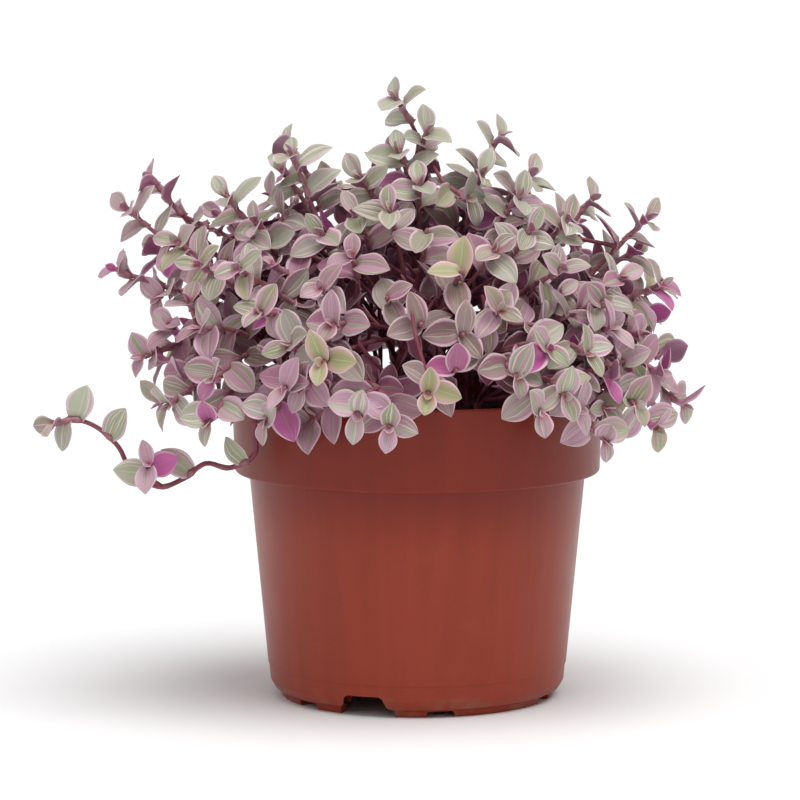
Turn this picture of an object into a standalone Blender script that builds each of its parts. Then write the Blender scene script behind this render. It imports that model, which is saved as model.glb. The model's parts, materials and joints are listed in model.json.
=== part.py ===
"""Potted turtle vine: a bushy trailing plant of many rooted shoots in a round plastic nursery pot.

Metres, +Z up. The origin is on the pot's axis, at the height that the pot stands on, and the front of
the plant faces -Y. A shoot is one grown body: its stem, its branches and its larger leaves.
"""

import math
import random
from collections import namedtuple

import bmesh
import bpy
from mathutils import Matrix, Vector
from mathutils.bvhtree import BVHTree
from mathutils.geometry import interpolate_bezier

MM = 0.001
MERGE = 0.00001

# ---- Pot: a turned shell ----
POT_HEIGHT = 101.2 * MM
RIM_RADIUS = 60.8 * MM
COLLAR_RADIUS = 60.0 * MM
COLLAR_BOTTOM = 74.5 * MM
WALL_TOP_RADIUS = 55.3 * MM
STEP_RADIUS = 49.2 * MM
STEP_HEIGHT = 10.8 * MM
STEP_DEPTH = 0.3 * MM
BASE_RADIUS = 44.9 * MM
FOOT_HEIGHT = 2.0 * MM
FOOT_INNER_RADIUS = 40.0 * MM
WALL = 1.1 * MM
FLOOR_HEIGHT = 7.0 * MM
PAD_RADIUS = 12.0 * MM
PAD_DRAFT = 1.2 * MM
PAD_HOLLOW = (10.4 * MM, 11.8 * MM)
POT_SIDES = 36
# Small turns in the pot's section: at the rim, under the collar, at the step and down the feet
RIM_CHAMFER = (0.3 * MM, 0.4 * MM)
COLLAR_CHAMFER = 0.5 * MM
STEP_DROP = 0.3 * MM
FOOT_DRAFT = 0.3 * MM
# The rounded bottom edge: how far in from the step, and how high, outside and then inside
BOTTOM_EDGE = ((0.8 * MM, 5.4 * MM), (2.2 * MM, 3.0 * MM))
INNER_EDGE = (1.8 * MM, 5.0 * MM)

# ---- Drain notches and foot gaps, by their bearing from the front, towards -X ----
NOTCH_COUNT = 3
NOTCH_BEARING = math.radians(21.4)
FOOT_GAP_OFFSET = math.radians(31.0)
FOOT_GAP_WIDTH = 9.0 * MM
NOTCH_HALF_OUTLINE = (
    (5.3 * MM, 7.0 * MM),
    (6.6 * MM, 6.3 * MM),
    (7.6 * MM, 3.4 * MM),
    (9.3 * MM, 2.1 * MM),
    (9.5 * MM, -1.0 * MM),
)
NOTCH_INNER = 36.0 * MM
NOTCH_OUTER = 54.0 * MM

# ---- Soil ----
SOIL_TOP = 92.0 * MM
# The soil's rounded shoulder: how far in from the rim's inside, and how far down
SOIL_SHOULDER = (4.0 * MM, 0.6 * MM)
SOIL_EDGE_DROP = 2.0 * MM
GAP = 0.3 * MM
SOCKET_DEPTH = 9.0 * MM
SOCKET_RADIUS = 1.8 * MM

# ---- Stems ----
STEM_RADIUS = 0.95 * MM
TIP_RADIUS_SHARE = 0.75
STEM_CHORDS = 6
BRANCH_CHORDS = 3
TWIG_CHORDS = 2
CHORD_SAMPLES = 4
TUBE_SIDES = 6
BRANCH_FORK = 3
TWIG_FORKS = (4, 2, 3)
TWIG_SEARCH = 400
TWIG_REACH = (14 * MM, 38 * MM)
TWIG_LEAN = 0.25
TWIG_STRAY = 5 * MM
FORK_LENGTH = 4 * MM
ROOT_DISC = 43.0 * MM
FORK_ALONG = 0.5
SWEEP = 0.35
STEM_TRIES = 40
STEM_STRAY = 0.4 * MM
LEAN_STRAY = 0.02
RIM_KEEP_OUT = (57.4 * MM, 62.6 * MM)
RIM_KEEP_OVER = 1.9 * MM
STEM_CLEARANCE = 0.5 * MM
LOW_TIP = 125 * MM
HANGING_TIP, HANGING_RISE = 95 * MM, -1.2
UPRIGHT_TIP, UPRIGHT_RISE = 165 * MM, 1.25
LOWEST_TWIG = 92 * MM
# The open pocket over the front of the rim that the twigs leave free: its ranges in millimetres
POCKET = ((-24, 38), (-95, -18), (90, 131))
SHOOT_SEED = 41
UPRIGHT = Vector((0.0, 0.0, 1.0))
FRONT = Vector((0.0, -1.0, 0.0))
SOIL_LEVEL = UPRIGHT * SOIL_TOP

# ---- Leaves ----
# How far down its arm from the tip each one is, its size as a share, how far round the stem it
# stands from the side, by way of the shaded side, and how steeply it rises, both in degrees
LEAF_STEPS = (
    (0.2 * MM, 0.34, 262, 66),
    (0.5 * MM, 0.68, 92, 50),
    (1.6 * MM, 0.88, 268, 14),
    (4.4 * MM, 0.98, 0, 22),
    (8.6 * MM, 1.0, 180, 18),
    (14.0 * MM, 1.0, 22, 16),
    (19.5 * MM, 1.0, 202, 14),
    (27.0 * MM, 0.97, -20, 12),
    (35.5 * MM, 0.95, 160, 10),
    (44.5 * MM, 0.97, 18, 10),
    (54.5 * MM, 0.98, 198, 10),
    (65.0 * MM, 0.95, 0, 10),
    (76.0 * MM, 0.9, 180, 10),
)
# The grown leaves of a shoot's stem and branches, and those of the runner, by their step
SHOOT_LEAVES = ((2, 3, 4, 5), (2, 3, 4), (3, 4))
RUNNER_LEAVES = ((2, 3, 4, 6, 10, 12), (2, 3, 4), ())
BARE_BASE = (10 * MM, 3 * MM, 3 * MM, 3 * MM, 3 * MM)
LEAF_LENGTH = 12.4 * MM
LEAF_WIDTH = 8.6 * MM
LEAF_THICKNESS = 1.2 * MM
LEAF_WIDEST = 0.46
# The outline's width goes by these powers of the share along it; the belly is its largest value
BASE_POWER, POINT_POWER, BELLY = 0.45, 2.6, 0.6112
LEAF_SIDES = 4
TEST_SIDES = 8
LEAF_BURY = 0.25 * MM
LEAF_CLEARANCE = 0.5 * MM
LEAF_NEAR = 1.3 * LEAF_LENGTH
LEAF_TRIES = 16
LEAF_RIDGE = 0.46
# Where a leaf is tried against the pot: shares along it, and from one side of it to the other
TRIED_ALONG = (0.25, 0.45, 0.65, 0.82, 1.0)
TRIED_ACROSS = (-1.0, -0.5, 0.0, 0.5, 1.0)
# How a leaf is turned: out, up and along its stem by these shares, wholly to the front at the last
# distance ahead of the pot's middle, and by chance, with more play at each further try
LIGHT_OUT, LIGHT_UP, LIGHT_AHEAD = 0.7, 0.5, 60 * MM
FACE_ALONG = 0.45
FACE_SHAKE = 0.45
ARM_TURN = 0.4
TURN_SHAKE, TURN_SHAKE_STEP = math.radians(10), math.radians(5)
RISE_SHAKE = 10
# The ranges of a leaf's length and width as shares, of its curl and its cup, and what it loses a try
LENGTH_RANGE = (0.85, 1.15)
WIDTH_RANGE = (0.85, 1.12)
CURL_RANGE = (0.05, 0.4)
CUP_RANGE = (0.15, 0.6)
LEAF_LOSS = 0.02

# Each shoot: its tip, its branch's tip, and its cast, all in millimetres. The cast is g for green
# leaves with pale stripes, p for mostly pink ones and y for yellow-green ones.
FRONT_SHOOTS = (
    ((60, -37, 133), (54, -55, 118), "g"),
    ((-70, -43, 125), (-65, -55, 110), "g"),
    ((46, -72, 107), (38, -76, 102), "g"),
    ((-80, -41, 100), (-66, -60, 97), "g"),
    ((-7, -2, 197), (3, -3, 186), "g"),
    ((27, 0, 184), (37, -5, 172), "g"),
    ((57, 4, 163), (46, -10, 158), "g"),
    ((75, -6, 158), (71, -2, 147), "g"),
    ((80, -8, 136), (66, -22, 140), "g"),
    ((73, -20, 121), (62, -43, 125), "p"),
    ((78, -33, 110), (86, -20, 98), "p"),
    ((76, -41, 93), (69, -49, 102), "g"),
    ((-44, -12, 174), (-42, 6, 181), "g"),
    ((-87, 2, 170), (-95, -5, 161), "p"),
    ((-62, -14, 166), (-52, -24, 158), "g"),
    ((-80, -24, 153), (-70, -37, 145), "g"),
    ((-97, -2, 139), (-87, 9, 147), "p"),
    ((-89, -14, 113), (-76, -33, 108), "p"),
    ((-48, -65, 98), (-42, -71, 109), "p"),
    ((-30, -77, 118), (-41, -65, 122), "y"),
    ((-19, -82, 102), (-9, -82, 98), "p"),
    ((3, -78, 108), (12, -73, 115), "y"),
    ((26, -64, 133), (14, -69, 126), "g"),
    ((31, -73, 113), (41, -65, 121), "g"),
    ((51, -63, 100), (59, -58, 91), "p"),
    ((14, -56, 145), (25, -47, 151), "y"),
    ((1, -66, 129), (-10, -60, 137), "g"),
    ((-31, -54, 139), (-21, -46, 149), "p"),
    ((3, -42, 157), (-9, -35, 163), "g"),
    ((-6, -9, 180), (-19, -14, 172), "g"),
    ((-20, -28, 161), (-31, -32, 155), "g"),
    ((-57, -50, 145), (-50, -61, 132), "g"),
    ((-27, -69, 129), (-36, -69, 110), "p"),
    ((46, -40, 144), (36, -33, 156), "g"),
    ((33, -18, 166), (21, -14, 173), "g"),
)
# The runner: its path in millimetres out of the soil, over the rim, down beside the pot and out
# to the left, the way its leaves face, and the point and aim of the side arm that leaves it
RUNNER = "long_runner"
RUNNER_ROUTE = (
    (-32, -27, 92),
    (-38, -32, 102),
    (-47, -39, 105),
    (-52, -42, 96),
    (-52, -41, 85),
    (-60, -38, 80),
    (-68, -35, 81),
    (-75, -33, 76),
    (-82, -32, 73),
    (-88, -32, 75),
    (-93, -33, 80),
    (-96, -33, 86),
    (-102, -34, 92),
    (-109, -35, 95),
    (-117, -36, 94),
)
RUNNER_FACES = Vector((0.0, -1.0, 0.25)).normalized()
RUNNER_FORK = 8
RUNNER_BRANCH = (Vector((-86, -44.5, 82)) * MM, Vector((-0.3, -0.85, 0.4)).normalized())
# The shoots behind: their count, and the bearings and the rises that their tips are spread over
BACK_SHOOTS = 17
BACK_FROM = math.radians(8.0)
BACK_TO = math.radians(172.0)
BACK_LOW = math.radians(-12.0)
BACK_HIGH = math.radians(70.0)
BACK_FORK = 0.2
BACK_REACH = (0.93, 1.05)
BACK_CASTS = "ggpgpy"
GOLDEN_SHARE = 0.5 * (math.sqrt(5.0) - 1.0)
DOME_CENTRE = Vector((-3 * MM, 0.0, 112 * MM))
DOME_RADII = (88 * MM, 76 * MM, 62 * MM)

Leaf = namedtuple("Leaf", "frame length width curl cup")
Shoot = namedtuple("Shoot", "name cast arms")


def pot_outline():
    """The pot's section, from the middle of its floor, over the rim, to the middle of its underside."""
    slope = (WALL_TOP_RADIUS - STEP_RADIUS) / (COLLAR_BOTTOM - STEP_HEIGHT)
    inset, inner_height = INNER_EDGE
    inner_base = STEP_RADIUS - slope * (STEP_HEIGHT - inner_height) - WALL
    gully = FOOT_HEIGHT + WALL
    inside = [
        (0.0, WALL),
        (PAD_HOLLOW[0], WALL),
        (PAD_HOLLOW[1], FLOOR_HEIGHT + WALL),
        (FOOT_INNER_RADIUS + WALL, FLOOR_HEIGHT + WALL),
        (FOOT_INNER_RADIUS + WALL, gully),
        (inner_base - inset, gully),
        (inner_base, inner_height),
        (WALL_TOP_RADIUS - WALL, COLLAR_BOTTOM + WALL),
        (COLLAR_RADIUS - WALL, COLLAR_BOTTOM + WALL),
        (RIM_RADIUS - WALL, POT_HEIGHT),
    ]
    outside = [
        (RIM_RADIUS - RIM_CHAMFER[0], POT_HEIGHT),
        (RIM_RADIUS, POT_HEIGHT - RIM_CHAMFER[1]),
        (COLLAR_RADIUS, COLLAR_BOTTOM + COLLAR_CHAMFER),
        (COLLAR_RADIUS - COLLAR_CHAMFER, COLLAR_BOTTOM),
        (WALL_TOP_RADIUS, COLLAR_BOTTOM),
        (STEP_RADIUS, STEP_HEIGHT),
        (STEP_RADIUS - STEP_DEPTH, STEP_HEIGHT - STEP_DROP),
        *[(STEP_RADIUS - inward, height) for inward, height in BOTTOM_EDGE],
        (BASE_RADIUS, FOOT_HEIGHT),
        (BASE_RADIUS - FOOT_DRAFT, 0.0),
        (FOOT_INNER_RADIUS, 0.0),
        (FOOT_INNER_RADIUS, FLOOR_HEIGHT),
        (PAD_RADIUS + PAD_DRAFT, FLOOR_HEIGHT),
        (PAD_RADIUS, 0.0),
        (0.0, 0.0),
    ]
    return inside + outside


def soil_outline():
    """The soil's section, a gap inside the pot's, from the middle of its top to the middle below."""
    ledge = COLLAR_BOTTOM + WALL + GAP
    slope = (WALL_TOP_RADIUS - STEP_RADIUS) / (COLLAR_BOTTOM - STEP_HEIGHT)
    floor = FLOOR_HEIGHT + WALL + GAP
    lowest = WALL_TOP_RADIUS - slope * (COLLAR_BOTTOM - floor) - WALL - 2 * GAP
    return [
        (0.0, SOIL_TOP),
        (RIM_RADIUS - WALL - SOIL_SHOULDER[0], SOIL_TOP - SOIL_SHOULDER[1]),
        (RIM_RADIUS - WALL - 3 * GAP, SOIL_TOP - SOIL_EDGE_DROP),
        (COLLAR_RADIUS - WALL - GAP, ledge),
        (WALL_TOP_RADIUS - WALL - GAP, ledge),
        (lowest, floor),
        (0.0, floor),
    ]


# ---- Growth: where the stems and the leaves are ----


def outward(point):
    """The level direction from the pot's axis to a point."""
    return Vector((point.x, point.y, 0.0)).normalized()


def half_width(u):
    """Half of an ovate leaf's outline as a share, from its clasping base (0) to its point (1)."""
    return u**BASE_POWER * (1.0 - u**POINT_POWER) / BELLY


def leaf_point(leaf, u, v, lift=0.0):
    """A point of the leaf: u from base to tip, v from -1 to 1 across, lift off its middle surface."""
    bend = leaf.curl * u
    along = leaf.length * math.sin(bend) / leaf.curl
    sink = leaf.length * (1.0 - math.cos(bend)) / leaf.curl
    across = 0.5 * leaf.width * half_width(u) * v
    rise = leaf.cup * across * across / leaf.width
    return leaf.frame @ Vector((along, across, rise - sink + lift))


def lens_points(leaf, corners, margin=0.0):
    """Places a bipyramid's corners on a leaf, with the margin added all round it."""
    grown = leaf._replace(length=leaf.length + margin, width=leaf.width + 2 * margin)
    points = []
    for corner in corners:
        if abs(corner.z) > 0.5:
            lift = math.copysign(0.5 * LEAF_THICKNESS + margin, corner.z)
            points.append(leaf_point(grown, LEAF_RIDGE, 0.0, lift))
        else:
            u = LEAF_WIDEST + 0.5 * corner.x + (0.5 - LEAF_WIDEST) * corner.x**2
            side = round(corner.y, 3)
            points.append(leaf_point(grown, max(0.0, u), side and math.copysign(1.0, side)))
    return points


def bipyramid(sides):
    """The corners and faces of a sphere cut down to a ring of corners and two poles."""
    blank = bmesh.new()
    bmesh.ops.create_uvsphere(blank, u_segments=sides, v_segments=2, radius=1.0)
    corners = [vertex.co.copy() for vertex in blank.verts]
    faces = [[vertex.index for vertex in face.verts] for face in blank.faces]
    blank.free()
    return corners, faces


def finely(path):
    """More points along a path's chords."""
    shares = [step / CHORD_SAMPLES for step in range(CHORD_SAMPLES)]
    return [a.lerp(b, share) for a, b in zip(path, path[1:]) for share in shares] + [path[-1]]


def tube_tree(points, radius):
    """A search tree of the six-sided tube along some points."""
    rings = []
    across = (points[1] - points[0]).orthogonal()
    for index, point in enumerate(points):
        along = points[min(index + 1, len(points) - 1)] - points[max(index - 1, 0)]
        across = (across - across.project(along)).normalized()
        for side in range(TUBE_SIDES):
            turn = Matrix.Rotation(math.tau * side / TUBE_SIDES, 3, along)
            rings.append(point + turn @ across * radius)
    faces = []
    for low in range(0, len(rings) - TUBE_SIDES, TUBE_SIDES):
        for side in range(TUBE_SIDES):
            after = (side + 1) % TUBE_SIDES
            faces.append((low + side, low + after, low + TUBE_SIDES + after, low + TUBE_SIDES + side))
    return BVHTree.FromPolygons(rings, faces)


def in_pot(point):
    """Whether a point is in the pot's rim or soil, or too near to them."""
    radius = math.hypot(point.x, point.y)
    if point.z > POT_HEIGHT + RIM_KEEP_OVER:
        return False
    if radius < RIM_KEEP_OUT[0]:
        return point.z < SOIL_TOP + STEM_RADIUS
    return radius < RIM_KEEP_OUT[1]


def heading_at(tip):
    """Which way a stem points where it ends: out and down at the rim, and more upright higher up."""
    share = max(0.0, min(1.0, (tip.z - HANGING_TIP) / (UPRIGHT_TIP - HANGING_TIP)))
    return (outward(tip) + UPRIGHT * (HANGING_RISE + (UPRIGHT_RISE - HANGING_RISE) * share)).normalized()


def swept(start, lean, tip, heading, lift, chords):
    """A stem's points from its start to its tip, on one smooth curve."""
    reach = (tip - start).length
    first = start + lean * (SWEEP * reach + lift)
    last = tip - heading * (SWEEP * reach + 0.5 * lift)
    return interpolate_bezier(start, first, last, tip, chords + 1)


def jolt(shake, size):
    """A small random move."""
    return Vector([shake.uniform(-size, size) for _ in range(3)])


def grow(owner, start, lean, tip, trees, shake, chords):
    """A path from start to tip that keeps clear of the pot and of the other arms, or None."""
    for attempt in range(STEM_TRIES):
        moved = tip + jolt(shake, STEM_STRAY * attempt)
        turned = (lean + jolt(shake, LEAN_STRAY * attempt)).normalized()
        lift = shake.uniform(0.0, STEM_STRAY * attempt)
        path = swept(start, turned, moved, heading_at(moved), lift, chords)
        points = finely(path)
        beyond = [point for point in points if (point - start).length > FORK_LENGTH]
        if len(beyond) < 2 or any(in_pot(point) for point in beyond):
            continue
        whole = tube_tree(points, STEM_RADIUS + STEM_CLEARANCE)
        outer = tube_tree(beyond, STEM_RADIUS + STEM_CLEARANCE)
        if not any((outer if name == owner else whole).overlap(tree) for name, tree in trees):
            return path
    return None


def grow_off(owner, stem, fork, tip, trees, shake, chords):
    """A branch that leaves a stem at one of its points and grows to its own tip, or None."""
    start = stem[fork]
    lean = (stem[fork + 1] - start).normalized() * FORK_ALONG + (tip - start).normalized()
    return grow(owner, start, lean.normalized(), tip, trees, shake, chords)


def spread_roots(count):
    """Places on the soil, as evenly spread as a sunflower's seeds."""
    roots = []
    for index in range(count):
        radius = ROOT_DISC * math.sqrt((index + 0.5) / count)
        angle = -math.tau * GOLDEN_SHARE * index
        roots.append(Vector((radius * math.cos(angle), radius * math.sin(angle), 0.0)))
    return roots


def back_tips(shake):
    """The tips of the shoots behind, spread over the back half of the dome."""
    tips = []
    for index in range(BACK_SHOOTS):
        bearing = BACK_FROM + (BACK_TO - BACK_FROM) * ((index + 0.5) * GOLDEN_SHARE % 1.0)
        rise = BACK_LOW + (BACK_HIGH - BACK_LOW) * (index + 0.5) / BACK_SHOOTS
        pair = []
        for side in (0.0, shake.choice((-1, 1)) * BACK_FORK):
            level = math.cos(rise - abs(side))
            reach = shake.uniform(*BACK_REACH)
            spot = Vector(
                (
                    DOME_RADII[0] * level * math.cos(bearing + side),
                    DOME_RADII[1] * level * math.sin(bearing + side),
                    DOME_RADII[2] * math.sin(rise - abs(side)),
                )
            )
            pair.append(DOME_CENTRE + spot * reach)
        tips.append((pair[0], pair[1], shake.choice(BACK_CASTS)))
    return tips


def in_pocket(point):
    """Whether a point is in the pocket that is left open over the rim."""
    return all(low * MM < value < high * MM for value, (low, high) in zip(point, POCKET))


def twig_tip(stem, tips, shake):
    """A tip for a stem's second branch, in the widest space left between the tips around it."""
    ahead = (stem[-1] - stem[BRANCH_FORK]).normalized()
    best = None
    for _ in range(TWIG_SEARCH):
        one, other = shake.sample(tips, 2)
        place = one.lerp(other, 0.5) + jolt(shake, TWIG_STRAY)
        offset = place - stem[BRANCH_FORK]
        near = TWIG_REACH[0] < offset.length < TWIG_REACH[1]
        if not near or offset.dot(ahead) < TWIG_LEAN * offset.length:
            continue
        if place.z < LOWEST_TWIG or in_pocket(place):
            continue
        room = min((place - tip).length for tip in tips)
        if best is None or room > best[0]:
            best = (room, place)
    return best and best[1]


def plan_shoots():
    """Every shoot's stem and branches, grown one after the other so that none meets another."""
    shake = random.Random(SHOOT_SEED)
    wanted = [
        (Vector(tip) * MM, Vector(side) * MM, cast) for tip, side, cast in FRONT_SHOOTS
    ] + back_tips(shake)
    runner = [Vector(point) * MM for point in RUNNER_ROUTE]
    lean = (runner[RUNNER_FORK + 1] - runner[RUNNER_FORK]).normalized()
    side_arm = swept(runner[RUNNER_FORK], lean, *RUNNER_BRANCH, 0.0, BRANCH_CHORDS)
    shoots = [Shoot(RUNNER, "g", [runner, side_arm, None])]
    trees = [(RUNNER, tube_tree(arm, STEM_RADIUS)) for arm in (runner, side_arm)]
    free = spread_roots(len(wanted) + 1)
    free.remove(min(free, key=lambda spot: (spot - outward(runner[0]) * ROOT_DISC).length))
    tips = []
    for index, (tip, side, cast) in enumerate(wanted):
        name = f"shoot_{index + 1:02d}"
        spot = Vector((tip.x, tip.y, 0.0)) * 0.5
        if tip.z < LOW_TIP:
            spot = outward(tip) * ROOT_DISC
        root = min(free, key=lambda place: (place - spot).length)
        free.remove(root)
        stem = grow(name, root + SOIL_LEVEL, UPRIGHT, tip, trees, shake, STEM_CHORDS)
        branch = grow_off(name, stem, BRANCH_FORK, side, trees, shake, BRANCH_CHORDS)
        for arm in (stem, branch):
            trees.append((name, tube_tree(arm, STEM_RADIUS)))
            tips.append(arm[-1])
        shoots.append(Shoot(name, cast, [stem, branch]))
    for shoot in shoots[1:]:
        stem = shoot.arms[0]
        place = twig_tip(stem, tips, shake)
        twig = None
        for fork in TWIG_FORKS:
            if place and not twig:
                twig = grow_off(shoot.name, stem, fork, place, trees, shake, TWIG_CHORDS)
        shoot.arms.append(twig)
        if twig:
            trees.append((shoot.name, tube_tree(twig, STEM_RADIUS)))
            tips.append(twig[-1])
    return shoots


def spot_on(path, distance):
    """The point at a distance down a path from its tip, and the way the path grows there."""
    for near, far in zip(path[::-1], path[-2::-1]):
        step = (near - far).length
        if distance <= step:
            return near.lerp(far, distance / step), (near - far).normalized()
        distance -= step
    return path[0], (path[1] - path[0]).normalized()


def light_at(point):
    """Where the leaves at a point turn: out and up, and those in front also to the front."""
    ahead = max(0.0, min(1.0, 0.5 - point.y / LIGHT_AHEAD))
    outer = (outward(point) + FRONT * ahead).normalized()
    return (outer * LIGHT_OUT + UPRIGHT * LIGHT_UP).normalized()


def leaf_on(path, step, side, bearing, view, attempt, shake):
    """One leaf on a stem: it clasps the stem, stands off to one side and faces the light."""
    distance, size, turn, raised = LEAF_STEPS[step]
    point, grows = spot_on(path, distance)
    light = view or light_at(point)
    sideways = grows.cross(light).normalized()
    spread = TURN_SHAKE + TURN_SHAKE_STEP * attempt
    angle = math.radians(turn) + bearing + shake.uniform(-spread, spread)
    away = sideways * side * math.cos(angle) + grows.cross(sideways) * math.sin(angle)
    rise = math.radians(raised + shake.uniform(-RISE_SHAKE, RISE_SHAKE))
    forward = away * math.cos(rise) + grows * math.sin(rise)
    faces = grows * FACE_ALONG + light + jolt(shake, FACE_SHAKE)
    across = faces.cross(forward).normalized()
    frame = Matrix((forward, across, forward.cross(across))).transposed().to_4x4()
    frame.translation = point - forward * LEAF_BURY
    shrink = size * (1.0 - LEAF_LOSS * attempt)
    length = LEAF_LENGTH * shrink * shake.uniform(*LENGTH_RANGE)
    width = LEAF_WIDTH * shrink * shake.uniform(*WIDTH_RANGE)
    return Leaf(frame, length, width, shake.uniform(*CURL_RANGE), shake.uniform(*CUP_RANGE))


def leaf_clear(leaf, corners, faces, owner, stems, leaves):
    """Whether a leaf is clear of the pot, of the other shoots and of the leaves that it could meet."""
    for u in TRIED_ALONG:
        if any(in_pot(leaf_point(leaf, u, v)) for v in TRIED_ACROSS):
            return False
    tree = BVHTree.FromPolygons(lens_points(leaf, corners, LEAF_CLEARANCE), faces)
    middle = leaf_point(leaf, 0.5, 0.0)
    for name, other in stems:
        if name != owner[0] and tree.overlap(other):
            return False
    for name, order, place, other in leaves:
        beside = name == owner[0] and abs(order - owner[1]) < 2
        if not beside and (place - middle).length < LEAF_NEAR and tree.overlap(other):
            return False
    return True


def leaf_out(shoots, shoot_steps, runner_steps, placed):
    """Leaves for every arm of every shoot, the outermost first, each turned until it has room."""
    corners, faces = bipyramid(TEST_SIDES)
    stems = []
    for shoot in shoots:
        for path in filter(None, shoot.arms):
            stems.append((shoot.name, tube_tree(path, STEM_RADIUS + GAP)))
    grown = {shoot.name: [] for shoot in shoots}
    for step in range(len(LEAF_STEPS)):
        for index, shoot in enumerate(shoots):
            wanted = runner_steps if shoot.name == RUNNER else shoot_steps
            for arm, path in enumerate(shoot.arms):
                if not path or step not in wanted[arm]:
                    continue
                length = sum((b - a).length for a, b in zip(path, path[1:]))
                if LEAF_STEPS[step][0] > length - BARE_BASE[arm]:
                    continue
                shake = random.Random(1000 * index + 100 * arm + step)
                bearing = random.Random(10 * index + arm).uniform(-ARM_TURN, ARM_TURN)
                side = 1 if (arm + index) % 2 else -1
                view = RUNNER_FACES if shoot.name == RUNNER else None
                order = 100 * arm + step
                for attempt in range(LEAF_TRIES):
                    leaf = leaf_on(path, step, side, bearing, view, attempt, shake)
                    if leaf_clear(leaf, corners, faces, (shoot.name, order), stems, placed):
                        tree = BVHTree.FromPolygons(lens_points(leaf, corners), faces)
                        placed.append((shoot.name, order, leaf_point(leaf, 0.5, 0.0), tree))
                        grown[shoot.name].append(leaf)
                        break
    return grown


# ---- Model ----


def material(name, colour, roughness):
    """A Principled material of one colour."""
    made = bpy.data.materials.new(name)
    made.use_nodes = True
    shader = made.node_tree.nodes["Principled BSDF"]
    shader.inputs["Base Color"].default_value = (*colour, 1.0)
    shader.inputs["Roughness"].default_value = roughness
    return made


def add(name, mesh, collection):
    """A new object of a mesh, in a collection."""
    made = bpy.data.objects.new(name, mesh)
    collection.objects.link(made)
    return made


def hide(tool):
    """Marks an object as one that only cuts or joins others."""
    tool.hide_render = True
    tool.display_type = "WIRE"


def turned(name, outline, collection):
    """A body turned about Z from its section."""
    mesh = bpy.data.meshes.new(name)
    points = [(radius, 0.0, height) for radius, height in outline]
    mesh.from_pydata(points, [(i, i + 1) for i in range(len(points) - 1)], [])
    made = add(name, mesh, collection)
    screw = made.modifiers.new("turn", "SCREW")
    screw.axis = "Z"
    screw.steps = POT_SIDES
    screw.render_steps = POT_SIDES
    screw.use_merge_vertices = True
    screw.merge_threshold = MERGE
    screw.use_smooth_shade = False
    return made


def as_mesh(curved, collection):
    """Turns a curve object into a mesh object with its caps welded on."""
    bpy.context.view_layer.update()
    evaluated = curved.evaluated_get(bpy.context.evaluated_depsgraph_get())
    mesh = bpy.data.meshes.new_from_object(evaluated)
    welding = bmesh.new()
    welding.from_mesh(mesh)
    bmesh.ops.remove_doubles(welding, verts=welding.verts, dist=MERGE)
    welding.to_mesh(mesh)
    welding.free()
    made = add(curved.name + "_mesh", mesh, collection)
    made.matrix_world = curved.matrix_world
    bpy.data.objects.remove(curved)
    return made


def tube(name, points, collection):
    """A stem that thins towards its tip."""
    curve = bpy.data.curves.new(name, "CURVE")
    curve.dimensions = "3D"
    curve.bevel_depth = STEM_RADIUS
    curve.bevel_resolution = 0
    curve.use_fill_caps = True
    line = curve.splines.new("POLY")
    line.points.add(len(points) - 1)
    for index, point in enumerate(points):
        share = index / (len(points) - 1)
        line.points[index].co = (*point, 1.0)
        line.points[index].radius = 1.0 - (1.0 - TIP_RADIUS_SHARE) * share
    return as_mesh(add(name, curve, collection), collection)


def notch_cutter(index, collection):
    """A drain notch's outline, standing across the wall, as a cutter."""
    outline = [*NOTCH_HALF_OUTLINE, *[(-x, z) for x, z in reversed(NOTCH_HALF_OUTLINE)]]
    curve = bpy.data.curves.new("notch", "CURVE")
    curve.dimensions = "2D"
    curve.fill_mode = "BOTH"
    curve.extrude = 0.5 * (NOTCH_OUTER - NOTCH_INNER)
    line = curve.splines.new("POLY")
    line.points.add(len(outline) - 1)
    for point, (x, z) in zip(line.points, outline):
        point.co = (x, z, 0.0, 1.0)
    line.use_cyclic_u = True
    flat = add(f"notch_{index}", curve, collection)
    bearing = NOTCH_BEARING + index * math.tau / NOTCH_COUNT
    stand = Matrix.Translation((0.0, -0.5 * (NOTCH_INNER + NOTCH_OUTER), 0.0))
    flat.matrix_world = (
        Matrix.Rotation(-bearing, 4, "Z") @ stand @ Matrix.Rotation(math.pi / 2, 4, "X")
    )
    hide(flat)
    cutter = as_mesh(flat, collection)
    hide(cutter)
    return cutter


def foot_gap_cutter(bearing, collection):
    """A box that parts two feet."""
    blank = bmesh.new()
    bmesh.ops.create_cube(blank, size=1.0)
    mesh = bpy.data.meshes.new("foot_gap")
    blank.to_mesh(mesh)
    blank.free()
    box = add("foot_gap", mesh, collection)
    reach = NOTCH_OUTER - NOTCH_INNER
    size = Matrix.Diagonal((FOOT_GAP_WIDTH, reach, 2 * FOOT_HEIGHT, 1.0))
    stand = Matrix.Translation((0.0, -0.5 * (NOTCH_INNER + NOTCH_OUTER), 0.0))
    box.matrix_world = Matrix.Rotation(-bearing, 4, "Z") @ stand @ size
    hide(box)
    return box


def cut(body, cutters):
    """Takes a collection of cutters out of a body."""
    difference = body.modifiers.new("cut", "BOOLEAN")
    difference.operation = "DIFFERENCE"
    difference.operand_type = "COLLECTION"
    difference.collection = cutters


def make_pot(parts, tools):
    """The pot with its drain notches and the gaps between its feet."""
    cutters = bpy.data.collections.new("pot_cutters")
    tools.children.link(cutters)
    for index in range(NOTCH_COUNT):
        notch_cutter(index, cutters)
        bearing = NOTCH_BEARING + index * math.tau / NOTCH_COUNT
        for side in (-1, 1):
            foot_gap_cutter(bearing + side * FOOT_GAP_OFFSET, cutters)
    pot = turned("nursery_pot", pot_outline(), parts)
    cut(pot, cutters)
    pot.data.materials.append(material("pot_plastic", (0.27, 0.052, 0.03), 0.4))


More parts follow.
